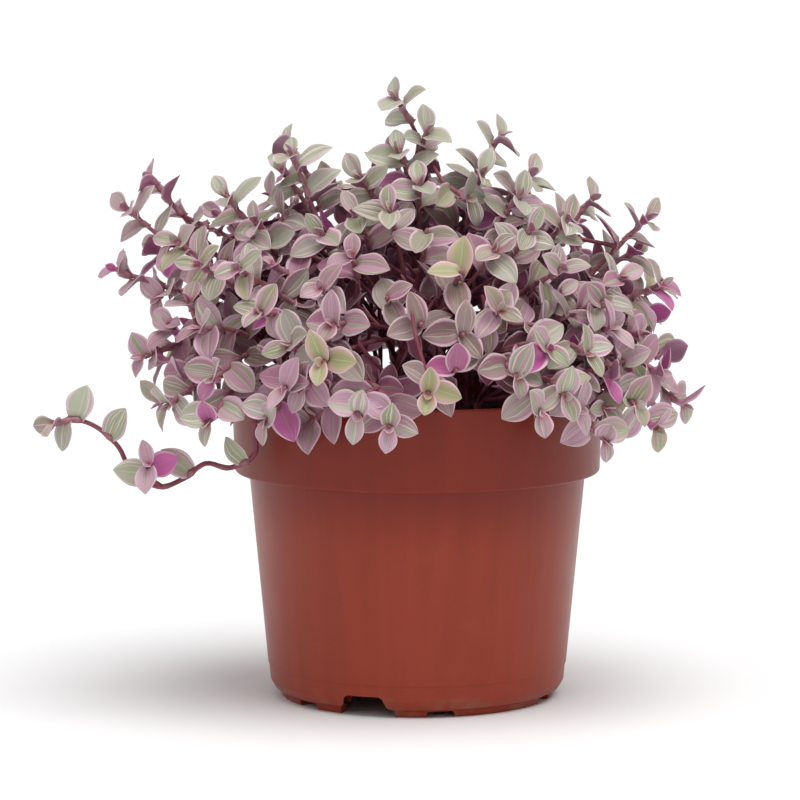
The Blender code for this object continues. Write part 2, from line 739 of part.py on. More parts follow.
def make_soil(shoots, parts, tools):
    """The soil, with a socket for each stem."""
    cutters = bpy.data.collections.new("soil_cutters")
    tools.children.link(cutters)
    blank = bmesh.new()
    bmesh.ops.create_cone(
        blank,
        cap_ends=True,
        segments=4,
        radius1=SOCKET_RADIUS,
        radius2=SOCKET_RADIUS,
        depth=2 * SOCKET_DEPTH,
    )
    mesh = bpy.data.meshes.new("socket")
    blank.to_mesh(mesh)
    blank.free()
    for shoot in shoots:
        socket = add("socket", mesh, cutters)
        socket.location = shoot.arms[0][0]
        hide(socket)
    soil = turned("potting_soil", soil_outline(), parts)
    cut(soil, cutters)
    soil.data.materials.append(material("soil", (0.02, 0.013, 0.009), 0.95))


def make_shoot(shoot, leaves, look, parts, tools):
    """One shoot: its stem, joined with its branches and its leaves."""
    plug = shoot.arms[0][0] - UPRIGHT * (SOCKET_DEPTH - GAP)
    stem = tube(shoot.name, [plug, *shoot.arms[0]], parts)
    stem.name = shoot.name
    growth = bmesh.new()
    for path in filter(None, shoot.arms[1:]):
        branch = tube(shoot.name + "_branch", path, tools)
        growth.from_mesh(branch.data)
        bpy.data.objects.remove(branch)
    for leaf in leaves:
        made = bmesh.ops.create_uvsphere(growth, u_segments=LEAF_SIDES, v_segments=2, radius=1.0)
        corners = [vertex.co.copy() for vertex in made["verts"]]
        for vertex, place in zip(made["verts"], lens_points(leaf, corners)):
            vertex.co = place
    mesh = bpy.data.meshes.new(shoot.name + "_growth")
    growth.to_mesh(mesh)
    growth.free()
    tool = add(shoot.name + "_growth", mesh, tools)
    hide(tool)
    join = stem.modifiers.new("join", "BOOLEAN")
    join.operation = "UNION"
    join.use_self = True
    join.object = tool
    stem.data.materials.append(look)


def main():
    for old in list(bpy.data.objects):
        bpy.data.objects.remove(old)
    parts = bpy.data.collections.new("potted_turtle_vine")
    tools = bpy.data.collections.new("cutters")
    bpy.context.scene.collection.children.link(parts)
    bpy.context.scene.collection.children.link(tools)
    shoots = plan_shoots()
    grown = leaf_out(shoots, SHOOT_LEAVES, RUNNER_LEAVES, [])
    looks = {
        "g": material("green_shoot", (0.33, 0.37, 0.22), 0.5),
        "p": material("pink_shoot", (0.5, 0.25, 0.31), 0.5),
        "y": material("yellow_shoot", (0.5, 0.5, 0.2), 0.5),
    }
    make_pot(parts, tools)
    make_soil(shoots, parts, tools)
    for shoot in shoots:
        make_shoot(shoot, grown[shoot.name], looks[shoot.cast], parts, tools)


main()
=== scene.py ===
"""The looks of the potted turtle vine: striped leaves, jointed stems, potting soil and a moulded pot.

Metres, +Z up. The growth rules and their numbers are the same as in the CAD part's own source, so the
stems and the grown leaves lie where the CAD nodes have them. The young leaves, the leaves further in,
the short sprigs, the crumbs and the finer rounding of the pot are added here.
"""

import json
import math
import random
from collections import namedtuple

import bmesh
import bpy
import numpy as np
from mathutils import Matrix, Vector, noise
from mathutils.bvhtree import BVHTree
from mathutils.geometry import interpolate_bezier

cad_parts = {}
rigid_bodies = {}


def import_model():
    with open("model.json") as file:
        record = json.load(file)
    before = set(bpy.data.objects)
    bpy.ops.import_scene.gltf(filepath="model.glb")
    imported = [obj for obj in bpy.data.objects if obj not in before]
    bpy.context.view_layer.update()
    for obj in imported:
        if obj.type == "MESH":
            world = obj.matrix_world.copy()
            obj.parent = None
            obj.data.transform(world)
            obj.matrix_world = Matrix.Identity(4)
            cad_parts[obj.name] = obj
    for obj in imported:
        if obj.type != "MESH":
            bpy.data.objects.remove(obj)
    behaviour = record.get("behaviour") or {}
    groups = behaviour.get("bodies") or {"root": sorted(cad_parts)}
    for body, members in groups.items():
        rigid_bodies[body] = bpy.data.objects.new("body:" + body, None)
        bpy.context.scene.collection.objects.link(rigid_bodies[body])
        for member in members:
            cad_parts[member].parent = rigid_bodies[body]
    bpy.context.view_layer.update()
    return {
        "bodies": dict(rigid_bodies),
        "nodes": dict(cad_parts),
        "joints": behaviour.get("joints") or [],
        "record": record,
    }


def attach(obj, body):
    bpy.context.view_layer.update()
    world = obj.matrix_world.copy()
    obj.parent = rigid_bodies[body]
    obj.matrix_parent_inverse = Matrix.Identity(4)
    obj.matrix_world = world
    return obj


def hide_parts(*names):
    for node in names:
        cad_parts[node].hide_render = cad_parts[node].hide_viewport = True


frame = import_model()

MM = 0.001

# ---- Pot: a turned shell ----
POT_HEIGHT = 101.2 * MM
RIM_RADIUS = 60.8 * MM
COLLAR_RADIUS = 60.0 * MM
COLLAR_BOTTOM = 74.5 * MM
WALL_TOP_RADIUS = 55.3 * MM
STEP_RADIUS = 49.2 * MM
STEP_HEIGHT = 10.8 * MM
STEP_DEPTH = 0.3 * MM
BASE_RADIUS = 44.9 * MM
FOOT_HEIGHT = 2.0 * MM
FOOT_INNER_RADIUS = 40.0 * MM
WALL = 1.1 * MM
FLOOR_HEIGHT = 7.0 * MM
PAD_RADIUS = 12.0 * MM
PAD_DRAFT = 1.2 * MM
PAD_HOLLOW = (10.4 * MM, 11.8 * MM)
WALL_SLOPE = (WALL_TOP_RADIUS - STEP_RADIUS) / (COLLAR_BOTTOM - STEP_HEIGHT)
# Small turns in the pot's section: at the rim, under the collar, at the step and down the feet
RIM_CHAMFER = (0.3 * MM, 0.4 * MM)
COLLAR_CHAMFER = 0.5 * MM
STEP_DROP = 0.3 * MM
FOOT_DRAFT = 0.3 * MM
# The rounded bottom edge: how far in from the step, and how high, outside and then inside
BOTTOM_EDGE = ((0.8 * MM, 5.4 * MM), (2.2 * MM, 3.0 * MM))
INNER_EDGE = (1.8 * MM, 5.0 * MM)

# ---- Drain notches and foot gaps, by their bearing from the front, towards -X ----
NOTCH_COUNT = 3
NOTCH_BEARING = math.radians(21.4)
FOOT_GAP_OFFSET = math.radians(31.0)
FOOT_GAP_WIDTH = 9.0 * MM
NOTCH_HALF_OUTLINE = (
    (5.3 * MM, 7.0 * MM),
    (6.6 * MM, 6.3 * MM),
    (7.6 * MM, 3.4 * MM),
    (9.3 * MM, 2.1 * MM),
    (9.5 * MM, -1.0 * MM),
)
NOTCH_INNER = 36.0 * MM
NOTCH_OUTER = 54.0 * MM

# ---- Soil ----
SOIL_TOP = 92.0 * MM
GAP = 0.3 * MM

# ---- Stems ----
STEM_RADIUS = 0.95 * MM
STEM_CHORDS = 6
BRANCH_CHORDS = 3
TWIG_CHORDS = 2
CHORD_SAMPLES = 4
TUBE_SIDES = 6
BRANCH_FORK = 3
TWIG_FORKS = (4, 2, 3)
TWIG_SEARCH = 400
TWIG_REACH = (14 * MM, 38 * MM)
TWIG_LEAN = 0.25
TWIG_STRAY = 5 * MM
FORK_LENGTH = 4 * MM
# Low shoots root at the edge of this disc, and the others under this share of the way to their tips
ROOT_DISC = 43.0 * MM
ROOT_UNDER = 0.5
FORK_ALONG = 0.5
SWEEP = 0.35
STEM_TRIES = 40
STEM_STRAY = 0.4 * MM
LEAN_STRAY = 0.02
RIM_KEEP_OUT = (57.4 * MM, 62.6 * MM)
RIM_KEEP_OVER = 1.9 * MM
STEM_CLEARANCE = 0.5 * MM
LOW_TIP = 125 * MM
HANGING_TIP, HANGING_RISE = 95 * MM, -1.2
UPRIGHT_TIP, UPRIGHT_RISE = 165 * MM, 1.25
LOWEST_TWIG = 92 * MM
# The open pocket over the front of the rim that the twigs leave free: its ranges in millimetres
POCKET = ((-24, 38), (-95, -18), (90, 131))
SHOOT_SEED = 41
UPRIGHT = Vector((0.0, 0.0, 1.0))
FRONT = Vector((0.0, -1.0, 0.0))
SOIL_LEVEL = UPRIGHT * SOIL_TOP

# ---- Leaves ----
# How far down its arm from the tip each one is, its size as a share, how far round the stem it
# stands from the side, by way of the shaded side, and how steeply it rises, both in degrees
LEAF_STEPS = (
    (0.2 * MM, 0.34, 262, 66),
    (0.5 * MM, 0.68, 92, 50),
    (1.6 * MM, 0.88, 268, 14),
    (4.4 * MM, 0.98, 0, 22),
    (8.6 * MM, 1.0, 180, 18),
    (14.0 * MM, 1.0, 22, 16),
    (19.5 * MM, 1.0, 202, 14),
    (27.0 * MM, 0.97, -20, 12),
    (35.5 * MM, 0.95, 160, 10),
    (44.5 * MM, 0.97, 18, 10),
    (54.5 * MM, 0.98, 198, 10),
    (65.0 * MM, 0.95, 0, 10),
    (76.0 * MM, 0.9, 180, 10),
)
# The grown leaves of a shoot's stem and branches, and those of the runner, by their step
SHOOT_LEAVES = ((2, 3, 4, 5), (2, 3, 4), (3, 4))
RUNNER_LEAVES = ((2, 3, 4, 6, 10, 12), (2, 3, 4), ())
BARE_BASE = (10 * MM, 3 * MM, 3 * MM, 3 * MM, 3 * MM)
LEAF_LENGTH = 12.4 * MM
LEAF_WIDTH = 8.6 * MM
LEAF_THICKNESS = 1.2 * MM
LEAF_WIDEST = 0.46
# The outline's width goes by these powers of the share along it; the belly is its largest value
BASE_POWER, POINT_POWER, BELLY = 0.45, 2.6, 0.6112
TEST_SIDES = 8
LEAF_BURY = 0.25 * MM
LEAF_CLEARANCE = 0.5 * MM
LEAF_NEAR = 1.3 * LEAF_LENGTH
LEAF_TRIES = 16
LEAF_RIDGE = 0.46
# Where a leaf is tried against the pot: shares along it, and from one side of it to the other
TRIED_ALONG = (0.25, 0.45, 0.65, 0.82, 1.0)
TRIED_ACROSS = (-1.0, -0.5, 0.0, 0.5, 1.0)
# How a leaf is turned: out, up and along its stem by these shares, wholly to the front at the last
# distance ahead of the pot's middle, and by chance, with more play at each further try
LIGHT_OUT, LIGHT_UP, LIGHT_AHEAD = 0.7, 0.5, 60 * MM
FACE_ALONG = 0.45
FACE_SHAKE = 0.45
ARM_TURN = 0.4
TURN_SHAKE, TURN_SHAKE_STEP = math.radians(10), math.radians(5)
RISE_SHAKE = 10
# The ranges of a leaf's length and width as shares, of its curl and its cup, and what it loses a try
LENGTH_RANGE = (0.85, 1.15)
WIDTH_RANGE = (0.85, 1.12)
CURL_RANGE = (0.05, 0.4)
CUP_RANGE = (0.15, 0.6)
LEAF_LOSS = 0.02

# Each shoot: its tip, its branch's tip, and its cast, all in millimetres. The cast is g for green
# leaves with pale stripes, p for mostly pink ones and y for yellow-green ones.
FRONT_SHOOTS = (
    ((60, -37, 133), (54, -55, 118), "g"),
    ((-70, -43, 125), (-65, -55, 110), "g"),
    ((46, -72, 107), (38, -76, 102), "g"),
    ((-80, -41, 100), (-66, -60, 97), "g"),
    ((-7, -2, 197), (3, -3, 186), "g"),
    ((27, 0, 184), (37, -5, 172), "g"),
    ((57, 4, 163), (46, -10, 158), "g"),
    ((75, -6, 158), (71, -2, 147), "g"),
    ((80, -8, 136), (66, -22, 140), "g"),
    ((73, -20, 121), (62, -43, 125), "p"),
    ((78, -33, 110), (86, -20, 98), "p"),
    ((76, -41, 93), (69, -49, 102), "g"),
    ((-44, -12, 174), (-42, 6, 181), "g"),
    ((-87, 2, 170), (-95, -5, 161), "p"),
    ((-62, -14, 166), (-52, -24, 158), "g"),
    ((-80, -24, 153), (-70, -37, 145), "g"),
    ((-97, -2, 139), (-87, 9, 147), "p"),
    ((-89, -14, 113), (-76, -33, 108), "p"),
    ((-48, -65, 98), (-42, -71, 109), "p"),
    ((-30, -77, 118), (-41, -65, 122), "y"),
    ((-19, -82, 102), (-9, -82, 98), "p"),
    ((3, -78, 108), (12, -73, 115), "y"),
    ((26, -64, 133), (14, -69, 126), "g"),
    ((31, -73, 113), (41, -65, 121), "g"),
    ((51, -63, 100), (59, -58, 91), "p"),
    ((14, -56, 145), (25, -47, 151), "y"),
    ((1, -66, 129), (-10, -60, 137), "g"),
    ((-31, -54, 139), (-21, -46, 149), "p"),
    ((3, -42, 157), (-9, -35, 163), "g"),
    ((-6, -9, 180), (-19, -14, 172), "g"),
    ((-20, -28, 161), (-31, -32, 155), "g"),
    ((-57, -50, 145), (-50, -61, 132), "g"),
    ((-27, -69, 129), (-36, -69, 110), "p"),
    ((46, -40, 144), (36, -33, 156), "g"),
    ((33, -18, 166), (21, -14, 173), "g"),
)
# The runner: its path in millimetres out of the soil, over the rim, down beside the pot and out
# to the left, the way its leaves face, and the point and aim of the side arm that leaves it
RUNNER = "long_runner"
RUNNER_ROUTE = (
    (-32, -27, 92),
    (-38, -32, 102),
    (-47, -39, 105),
    (-52, -42, 96),
    (-52, -41, 85),
    (-60, -38, 80),
    (-68, -35, 81),
    (-75, -33, 76),
    (-82, -32, 73),
    (-88, -32, 75),
    (-93, -33, 80),
    (-96, -33, 86),
    (-102, -34, 92),
    (-109, -35, 95),
    (-117, -36, 94),
)
RUNNER_FACES = Vector((0.0, -1.0, 0.25)).normalized()
RUNNER_FORK = 8
RUNNER_BRANCH = (Vector((-86, -44.5, 82)) * MM, Vector((-0.3, -0.85, 0.4)).normalized())
# The shoots behind: their count, and the bearings and the rises that their tips are spread over
BACK_SHOOTS = 17
BACK_FROM = math.radians(8.0)
BACK_TO = math.radians(172.0)
BACK_LOW = math.radians(-12.0)
BACK_HIGH = math.radians(70.0)
BACK_FORK = 0.2
BACK_REACH = (0.93, 1.05)
BACK_CASTS = "ggpgpy"
GOLDEN_SHARE = 0.5 * (math.sqrt(5.0) - 1.0)
DOME_CENTRE = Vector((-3 * MM, 0.0, 112 * MM))
DOME_RADII = (88 * MM, 76 * MM, 62 * MM)

Leaf = namedtuple("Leaf", "frame length width curl cup")
Shoot = namedtuple("Shoot", "name cast arms")

# ---- What only the looks have ----

# Leaves beside those of the CAD nodes: the young ones at each tip, and older ones further in
MORE_SHOOT_LEAVES = (
    (0, 1, 6, 7, 8, 9),
    (0, 1, 5, 6, 7),
    (0, 1, 2, 5, 6),
    (0, 1, 2, 3, 4, 5),
    (0, 1, 2, 3, 4, 5),
)
MORE_RUNNER_LEAVES = ((0, 1), (0, 1), ())
# Sprigs, in two rounds: the points of a stem that each round may leave it from
SPRIG_FORKS = ((5, 4), (2, 1, 3))
SPRIG_SEED = 43
LOOKS_SEED = 19

# The lamina: stations from base to tip, and a section from one margin over the face to the other
LAMINA = 0.42 * MM
LAMINA_STATIONS = (
    0.0, 0.015, 0.045, 0.095, 0.165, 0.25, 0.345,
    0.45, 0.56, 0.67, 0.775, 0.865, 0.93, 0.978,
)
LAMINA_SPREAD = (0.95, 0.68, 0.34, 0.0, -0.34, -0.68, -0.95)
# The shares along a leaf over which its blade widens, and where its clasping base ends
BLADE_FROM = (-0.06, 0.16)
CLASP_HALF_WIDTH = 1.3 * MM
CLASP_REACH = 0.16
# The first share of a leaf is a sheath that runs down the stem: how far down, by powers of the leaf's
# size and of the share, how far out from the stem, and how much of the blade's length it gives up.
# The stem counts as pointing at least this much to the leaf's face
SHEATH_REACH = 0.2
SHEATH_DROP = 2.4 * MM
SHEATH_BY_SIZE, SHEATH_FALL = 0.7, 1.6
SHEATH_OUT = 0.55 * MM
BASE_GATHER = 0.8
STEM_BEHIND = 0.3
# The fold along the midrib, how uneven the cup of its sides is, the base's deeper fold, and the groove
FOLD, CUP_SHAKE = 0.12, 0.3
BASE_FOLD, BASE_FOLD_REACH = 0.5, 0.3
MIDRIB_DEPTH, MIDRIB_WIDTH = 0.2 * MM, 0.14
# The waves of the margin, and how the last part of the blade droops or lifts
EDGE_WAVE, WAVE_RANGE, WAVE_TURN = 0.4 * MM, (0.3, 1.0), 6.5
DROOP_RANGE, DROOP_FROM = (-0.5 * MM, 1.0 * MM), 0.7
# The thickness: less at the margin, tapering at the tip, more over the first part of the base
MARGIN_THIN = 0.4
TIP_THICK, TIP_TAPER = 0.3, 5.0
BASE_THICK, BASE_THICK_REACH = 0.35 * MM, 0.08
# How far a blade may twist by its tip, and how far one deep in the crown may roll over
TWIST = 0.28
INNER_ROLL, INNER_ROLL_FROM = 1.4, (0.05, 0.4)

# How deep in the crown a leaf is, which gives it painted shade and rolls it over: how far under its tips
# this starts and where it is full, seen from its heart, and how near to a leaf's own bearing the tips
# count
INNER = (-1.0 * MM, 20.0 * MM)
HEART = Vector((0.0, 0.0, 95.0 * MM))
TIP_BLUR = 0.015
# A leaf is young below this share of a full length, and wholly young this much below it
YOUNG_FROM, YOUNG_SPAN = 0.86, 0.5
# Golden are the leaves around a yellow-green shoot's tip. The others are so a little, seldom much
GOLDEN_REACH = 7.0 * MM
GOLD_ELSEWHERE, GOLD_RARITY = 0.5, 4
PINK_SHARE = {"g": (0.0, 0.55), "p": (0.4, 0.9), "y": (0.0, 0.3)}
# The pink rosette on the runner's side arm, and its leaf with painted magenta glow, aimed this much to the
# right
PINK_ROSETTE = (0.75, 1.0)
ROSETTE_REACH = 9.0 * MM
MAGENTA_ASIDE = 0.8
# The crown's colour by height: paler and greener above and a little over the rim, the paleness partly
# painted light, rosier between
CROWN_TOP = (138.0 * MM, 184.0 * MM)
CROWN_RIM = (114.0 * MM, 98.0 * MM)
RIM_LIFT = 0.4
# What the height changes: the pink lost above and gained below, the paleness gained above, partly as
# painted light from above, the lilac veil lost above and its least below, and the painted shade lost above
TOP_PINK_LOSS, LOW_PINK = 0.5, 0.1
TOP_PALENESS = 0.75
TOP_CLEAR, LOW_VEIL = 0.6, 0.16
TOP_LIGHT = 0.6
# The open hollow low in the front of the crown: its middle and half width, across and up, how it fades
# at its edge, how far back it goes, and how much painted shade it puts on the leaves in it
HOLLOW_MIDDLE = (1.0 * MM, 133.0 * MM)
HOLLOW_REACH = (29.0 * MM, 29.0 * MM)
HOLLOW_EDGE = (1.3, 0.5)
HOLLOW_BACK = 5.0 * MM
HOLLOW_PAINTED_SHADE = 0.42
# No leaves are added from this share of the hollow on, in front of this plane across the pot
HOLLOW_BARE = 0.6
HOLLOW_BARE_BACK = -14.0 * MM

# Stems: girths are shares of the radius, at the start and at the tip, whose last ring is narrower.
# A plug goes on down into the soil, and a leaf this near to a stem swells it with a node
STALK_SIDES = 8
STALK_RADIUS = 0.84 * MM
STALK_END = 0.55
STEM_GIRTH = (1.0, 0.75)
RUNNER_GIRTH = (1.1, 0.92)
BRANCH_GIRTH = (0.86, 0.7)
STALK_SPACING = 1.5 * MM
STALK_PLUG = 3.0 * MM
LEAF_ON_STALK = 1.6 * MM
# Nodes: their spacing, where no leaf's node is near, and how much and how far they swell the stem
NODE_SPACING = 11.0 * MM
NODE_SHAKE = (0.85, 1.15)
NODE_APART = 0.6 * NODE_SPACING
NODE_SWELL = 0.42
SCAR_SWELL = 0.2
NODE_BELOW = 0.8 * MM
NODE_ABOVE = 2.4 * MM
# Where a branch starts in the stems' colour from root to tip, and how much the sheaths' colour varies
BRANCH_TINT_FROM = 0.5
STALK_SHAKE = 0.2

# Pot: its edges are rounded by this much, at most this share of a side, and a foot gap's top is slanted
POT_SEGMENTS = 160
ROUNDING = 0.45 * MM
ROUNDING_SHARE = 0.42
ROUNDING_STEPS = 3
SHARP_ANGLE = math.radians(38)
FOOT_GAP_SHOULDER = 0.7 * FOOT_HEIGHT
FOOT_GAP_SLANT = 0.6 * MM

# Soil: its rings, which crowd towards the edge, and the ring on its floor
SOIL_RINGS = 72
SOIL_CROWDING = 0.8
SOIL_SEGMENTS = 144
SOIL_FLOOR_RING = 0.4
# The lumps in its top, coarse and fine: their size, their share of the relief, and the noise's
# roughness, the ratio of its layers and their count. The fine ones come from another slice of the noise
SOIL_RELIEF = 1.5 * MM
COARSE_SIZE, COARSE_SHARE, COARSE_NOISE = 9 * MM, 0.7, (0.9, 2.1, 4)
FINE_SIZE, FINE_SHARE, FINE_NOISE = 2.2 * MM, 0.28, (1.0, 2.0, 2)
FINE_LAYER = 0.1
# Its edge falls away from this share of the radius on
SOIL_EDGE, SOIL_FALL = 0.86, 2.2 * MM
# Loose lumps: name, count, sizes, flatness, and their look's name, two colours and roughness
BARK = ((0.018, 0.010, 0.007), (0.16, 0.085, 0.045))
PERLITE = ((0.50, 0.48, 0.44), (0.85, 0.84, 0.80))
LUMPS = (
    ("soil_crumbs", 420, (0.7 * MM, 2.1 * MM), 0.6, ("bark_crumb", *BARK, 0.85)),
    ("perlite", 46, (0.7 * MM, 1.5 * MM), 0.85, ("perlite", *PERLITE, 0.7)),
)
# They keep this far from the rim, and vary in size, stretch, roughness and tilt
LUMP_RIM = 3.5 * MM
LUMP_SIZE_SHAKE = (0.6, 1.0)
LUMP_STRETCH = ((0.7, 1.3), (0.5, 1.0), (0.7, 1.2))
LUMP_ROUGH, LUMP_GRAIN = 0.34, 1.4
LUMP_TILT = 0.5
LUMP_LIFT = 0.35

# Camera: the lens of a distant studio camera, looking slightly down
CAMERA_PLACE = (-0.00566, -1.38, 0.2603)
CAMERA_PITCH = math.radians(6.734)
CAMERA_LENS = 190.35
SENSOR = 36.0

# Light: even, pale surroundings and very wide soft suns, by where they are, over a wide floor
WORLD_LIGHT = 0.5
WORLD_SEEN = 1.0
SUNS = (
    ("key", (0.2, -0.25, 1.0), 2.2, 50.0),
    ("fill", (-0.4, -0.5, 0.9), 0.4, 80.0),
)
FLOOR_REACH = 30.0

# The stripes of a leaf, broad, fine, as veins and as ridges: how many across, how much they drift
# along it, where in the noise they are, and its detail. Then their wobble, and how far apart in the
# noise the leaves are
STRIPES = (
    (1.9, 0.2, 3.0, 1.0),
    (6.5, 0.35, 11.0, 1.5),
    (30.0, 0.5, 5.0, 1.0),
    (16.0, 0.3, 8.0, 1.0),
)
WOBBLE, WOBBLE_ALONG = 0.22, 2.6
SEED_SPREAD = 60.0
# Where the fine stripes turn cream on green and green on rose, and where the broad ones turn rose: at
# a level that is lower on pinker leaves and towards the margin
CREAM_LINES = (0.57, 0.64)
GREEN_LINES = (0.42, 0.36)
ROSE_LEVEL, ROSE_BY_PINK, ROSE_ACROSS, ROSE_BLUR = 0.80, -0.5, -0.16, 0.025
# The few leaves whose face has a painted magenta glow, standing in for light through the leaf, by their
# seed
GLOW_SEEDS = (0.965, 0.972)
# The pale margin wanders with the broad stripes, and covers more or less by the shuffled seed: as lines
MARGIN_WANDER = (0.3, -0.15)
MARGIN_SHARE, SEED_SHUFFLE = (0.5, 0.42), 13.0

# Colours of the leaves
SAGE = (0.250, 0.272, 0.145)
SAGE_PALE = (0.41, 0.424, 0.325)
LILAC_GREY = (0.31, 0.21, 0.225)
# Painted shade on the leaves deep in the crown and in the front hollow
PAINTED_SHADE_PLUM = (0.20, 0.028, 0.083)
PLUM = (0.36, 0.118, 0.205)
LILAC = (0.38, 0.20, 0.30)
GOLDEN = (0.36, 0.36, 0.16)
GOLDEN_EDGE = (0.55, 0.37, 0.30)
ROSE = (0.46, 0.245, 0.335)
ROSE_PALE = (0.56, 0.385, 0.455)
CREAM = (0.68, 0.62, 0.54)
MARGIN = (0.68, 0.51, 0.55)
# Undersides: their own mauve and magenta, made brighter as painted light shining through the leaf
MAUVE = (0.38, 0.088, 0.215)
MAGENTA = (0.50, 0.055, 0.31)
CRIMSON = (0.48, 0.03, 0.10)
COLLAR_TINT = (0.27, 0.075, 0.11)
# Colours of the stems, the pot, the soil and the floor
STEM_DARK, STEM_PALE = (0.145, 0.017, 0.037), (0.235, 0.048, 0.072)
STEM_TIP, STEM_SHEATH = (0.32, 0.105, 0.14), (0.42, 0.22, 0.25)
PLASTIC, PLASTIC_DARK = (0.285, 0.036, 0.0140), (0.252, 0.032, 0.0125)
# The pot's pale flecks, and a darker colour painted on as shade under the foliage
PLASTIC_PALE, PLASTIC_PAINTED_SHADE = (0.34, 0.075, 0.042), (0.125, 0.002, 0.001)
DUST = (0.28, 0.15, 0.10)
PEAT_DARK, PEAT_PALE, FIBRE = (0.016, 0.010, 0.008), (0.085, 0.052, 0.036), (0.13, 0.08, 0.045)
FLOOR_GREYS = ((0.88, 0.88, 0.88), (0.895, 0.895, 0.895))
# The heights where the pot is dusty, and those over which painted shade darkens it up to the collar
DUSTY = (9 * MM, 1 * MM)
PAINTED_SHADE_HEIGHTS = (52 * MM, 74 * MM)
# Scales of the noises, per metre. The moulding's flow and the scuffs have two, round the pot by the
# radian and up it, and the fibres have one along each axis
STEM_MOTTLE, STEM_STREAKS = 260.0, 1400.0
POT_CLOUDS, POT_FLECKS, POT_SPECKS, POT_GRAIN = 28.0, 1500.0, 120.0, 700.0
POT_FLOW, POT_SCUFFS = (9.0, 14.0), (4.0, 420.0)
PEAT_GRAIN, CRUMB_GRAIN, FLOOR_GRAIN = 420.0, 1100.0, 3.0
FIBRES = (900.0, 250.0, 500.0)
# The relief that only the light shows, as strength and height, and the roughness
LEAF_RELIEF, LEAF_ROUGHNESS = (0.35, 0.12 * MM), (0.36, 0.5)
STEM_RELIEF, STEM_ROUGHNESS = (0.3, 0.1 * MM), (0.4, 0.55)
POT_RELIEF, POT_ROUGHNESS, DUST_ROUGHNESS = (0.12, 0.12 * MM), (0.33, 0.43), 0.3
PEAT_RELIEF, PEAT_ROUGHNESS = (0.8, 0.5 * MM), 0.92
CRUMB_RELIEF = (0.7, 0.25 * MM)
FLOOR_ROUGHNESS = 0.75


def pot_outline():
    """The pot's section, from the middle of its floor, over the rim, to the middle of its underside."""
    inset, inner_height = INNER_EDGE
    inner_base = STEP_RADIUS - WALL_SLOPE * (STEP_HEIGHT - inner_height) - WALL
    gully = FOOT_HEIGHT + WALL
    inside = [
        (0.0, WALL),
        (PAD_HOLLOW[0], WALL),
        (PAD_HOLLOW[1], FLOOR_HEIGHT + WALL),
        (FOOT_INNER_RADIUS + WALL, FLOOR_HEIGHT + WALL),
        (FOOT_INNER_RADIUS + WALL, gully),
        (inner_base - inset, gully),
        (inner_base, inner_height),
        (WALL_TOP_RADIUS - WALL, COLLAR_BOTTOM + WALL),
        (COLLAR_RADIUS - WALL, COLLAR_BOTTOM + WALL),
        (RIM_RADIUS - WALL, POT_HEIGHT),
    ]
    outside = [
        (RIM_RADIUS - RIM_CHAMFER[0], POT_HEIGHT),
        (RIM_RADIUS, POT_HEIGHT - RIM_CHAMFER[1]),
        (COLLAR_RADIUS, COLLAR_BOTTOM + COLLAR_CHAMFER),
        (COLLAR_RADIUS - COLLAR_CHAMFER, COLLAR_BOTTOM),
        (WALL_TOP_RADIUS, COLLAR_BOTTOM),
        (STEP_RADIUS, STEP_HEIGHT),
        (STEP_RADIUS - STEP_DEPTH, STEP_HEIGHT - STEP_DROP),
        *[(STEP_RADIUS - inward, height) for inward, height in BOTTOM_EDGE],
        (BASE_RADIUS, FOOT_HEIGHT),
        (BASE_RADIUS - FOOT_DRAFT, 0.0),
        (FOOT_INNER_RADIUS, 0.0),
        (FOOT_INNER_RADIUS, FLOOR_HEIGHT),
        (PAD_RADIUS + PAD_DRAFT, FLOOR_HEIGHT),
        (PAD_RADIUS, 0.0),
        (0.0, 0.0),
    ]
    return inside + outside


# ---- Growth: where the stems and the leaves are ----


def outward(point):
    """The level direction from the pot's axis to a point."""
    return Vector((point.x, point.y, 0.0)).normalized()


def half_width(u):
    """Half of an ovate leaf's outline as a share, from its clasping base (0) to its point (1)."""
    return u**BASE_POWER * (1.0 - u**POINT_POWER) / BELLY


def leaf_point(leaf, u, v, lift=0.0):
    """A point of the leaf: u from base to tip, v from -1 to 1 across, lift off its middle surface."""
    bend = leaf.curl * u
    along = leaf.length * math.sin(bend) / leaf.curl
    sink = leaf.length * (1.0 - math.cos(bend)) / leaf.curl
    across = 0.5 * leaf.width * half_width(u) * v
    rise = leaf.cup * across * across / leaf.width
    return leaf.frame @ Vector((along, across, rise - sink + lift))


def lens_points(leaf, corners, margin=0.0):
    """Places a bipyramid's corners on a leaf, with the margin added all round it."""
    grown = leaf._replace(length=leaf.length + margin, width=leaf.width + 2 * margin)
    points = []
    for corner in corners:
        if abs(corner.z) > 0.5:
            lift = math.copysign(0.5 * LEAF_THICKNESS + margin, corner.z)
            points.append(leaf_point(grown, LEAF_RIDGE, 0.0, lift))
        else:
            u = LEAF_WIDEST + 0.5 * corner.x + (0.5 - LEAF_WIDEST) * corner.x**2
            side = round(corner.y, 3)
            points.append(leaf_point(grown, max(0.0, u), side and math.copysign(1.0, side)))
    return points


def unit_shape(create, **settings):
    """The corners and faces of one of Blender's own shapes, of radius 1."""
    blank = bmesh.new()
    create(blank, radius=1.0, **settings)
    corners = [vertex.co.copy() for vertex in blank.verts]
    faces = [tuple(vertex.index for vertex in face.verts) for face in blank.faces]
    blank.free()
    return corners, faces


def bipyramid(sides):
    """The corners and faces of a sphere cut down to a ring of corners and two poles."""
    return unit_shape(bmesh.ops.create_uvsphere, u_segments=sides, v_segments=2)


def finely(path):
    """More points along a path's chords."""
    shares = [step / CHORD_SAMPLES for step in range(CHORD_SAMPLES)]
    return [a.lerp(b, share) for a, b in zip(path, path[1:]) for share in shares] + [path[-1]]


def ring_faces(rings, around):
    """Quads that join rings of points, each to the next."""
    faces = []
    for low in range(0, (rings - 1) * around, around):
        for side in range(around):
            after = (side + 1) % around
            faces.append((low + side, low + after, low + around + after, low + around + side))
    return faces


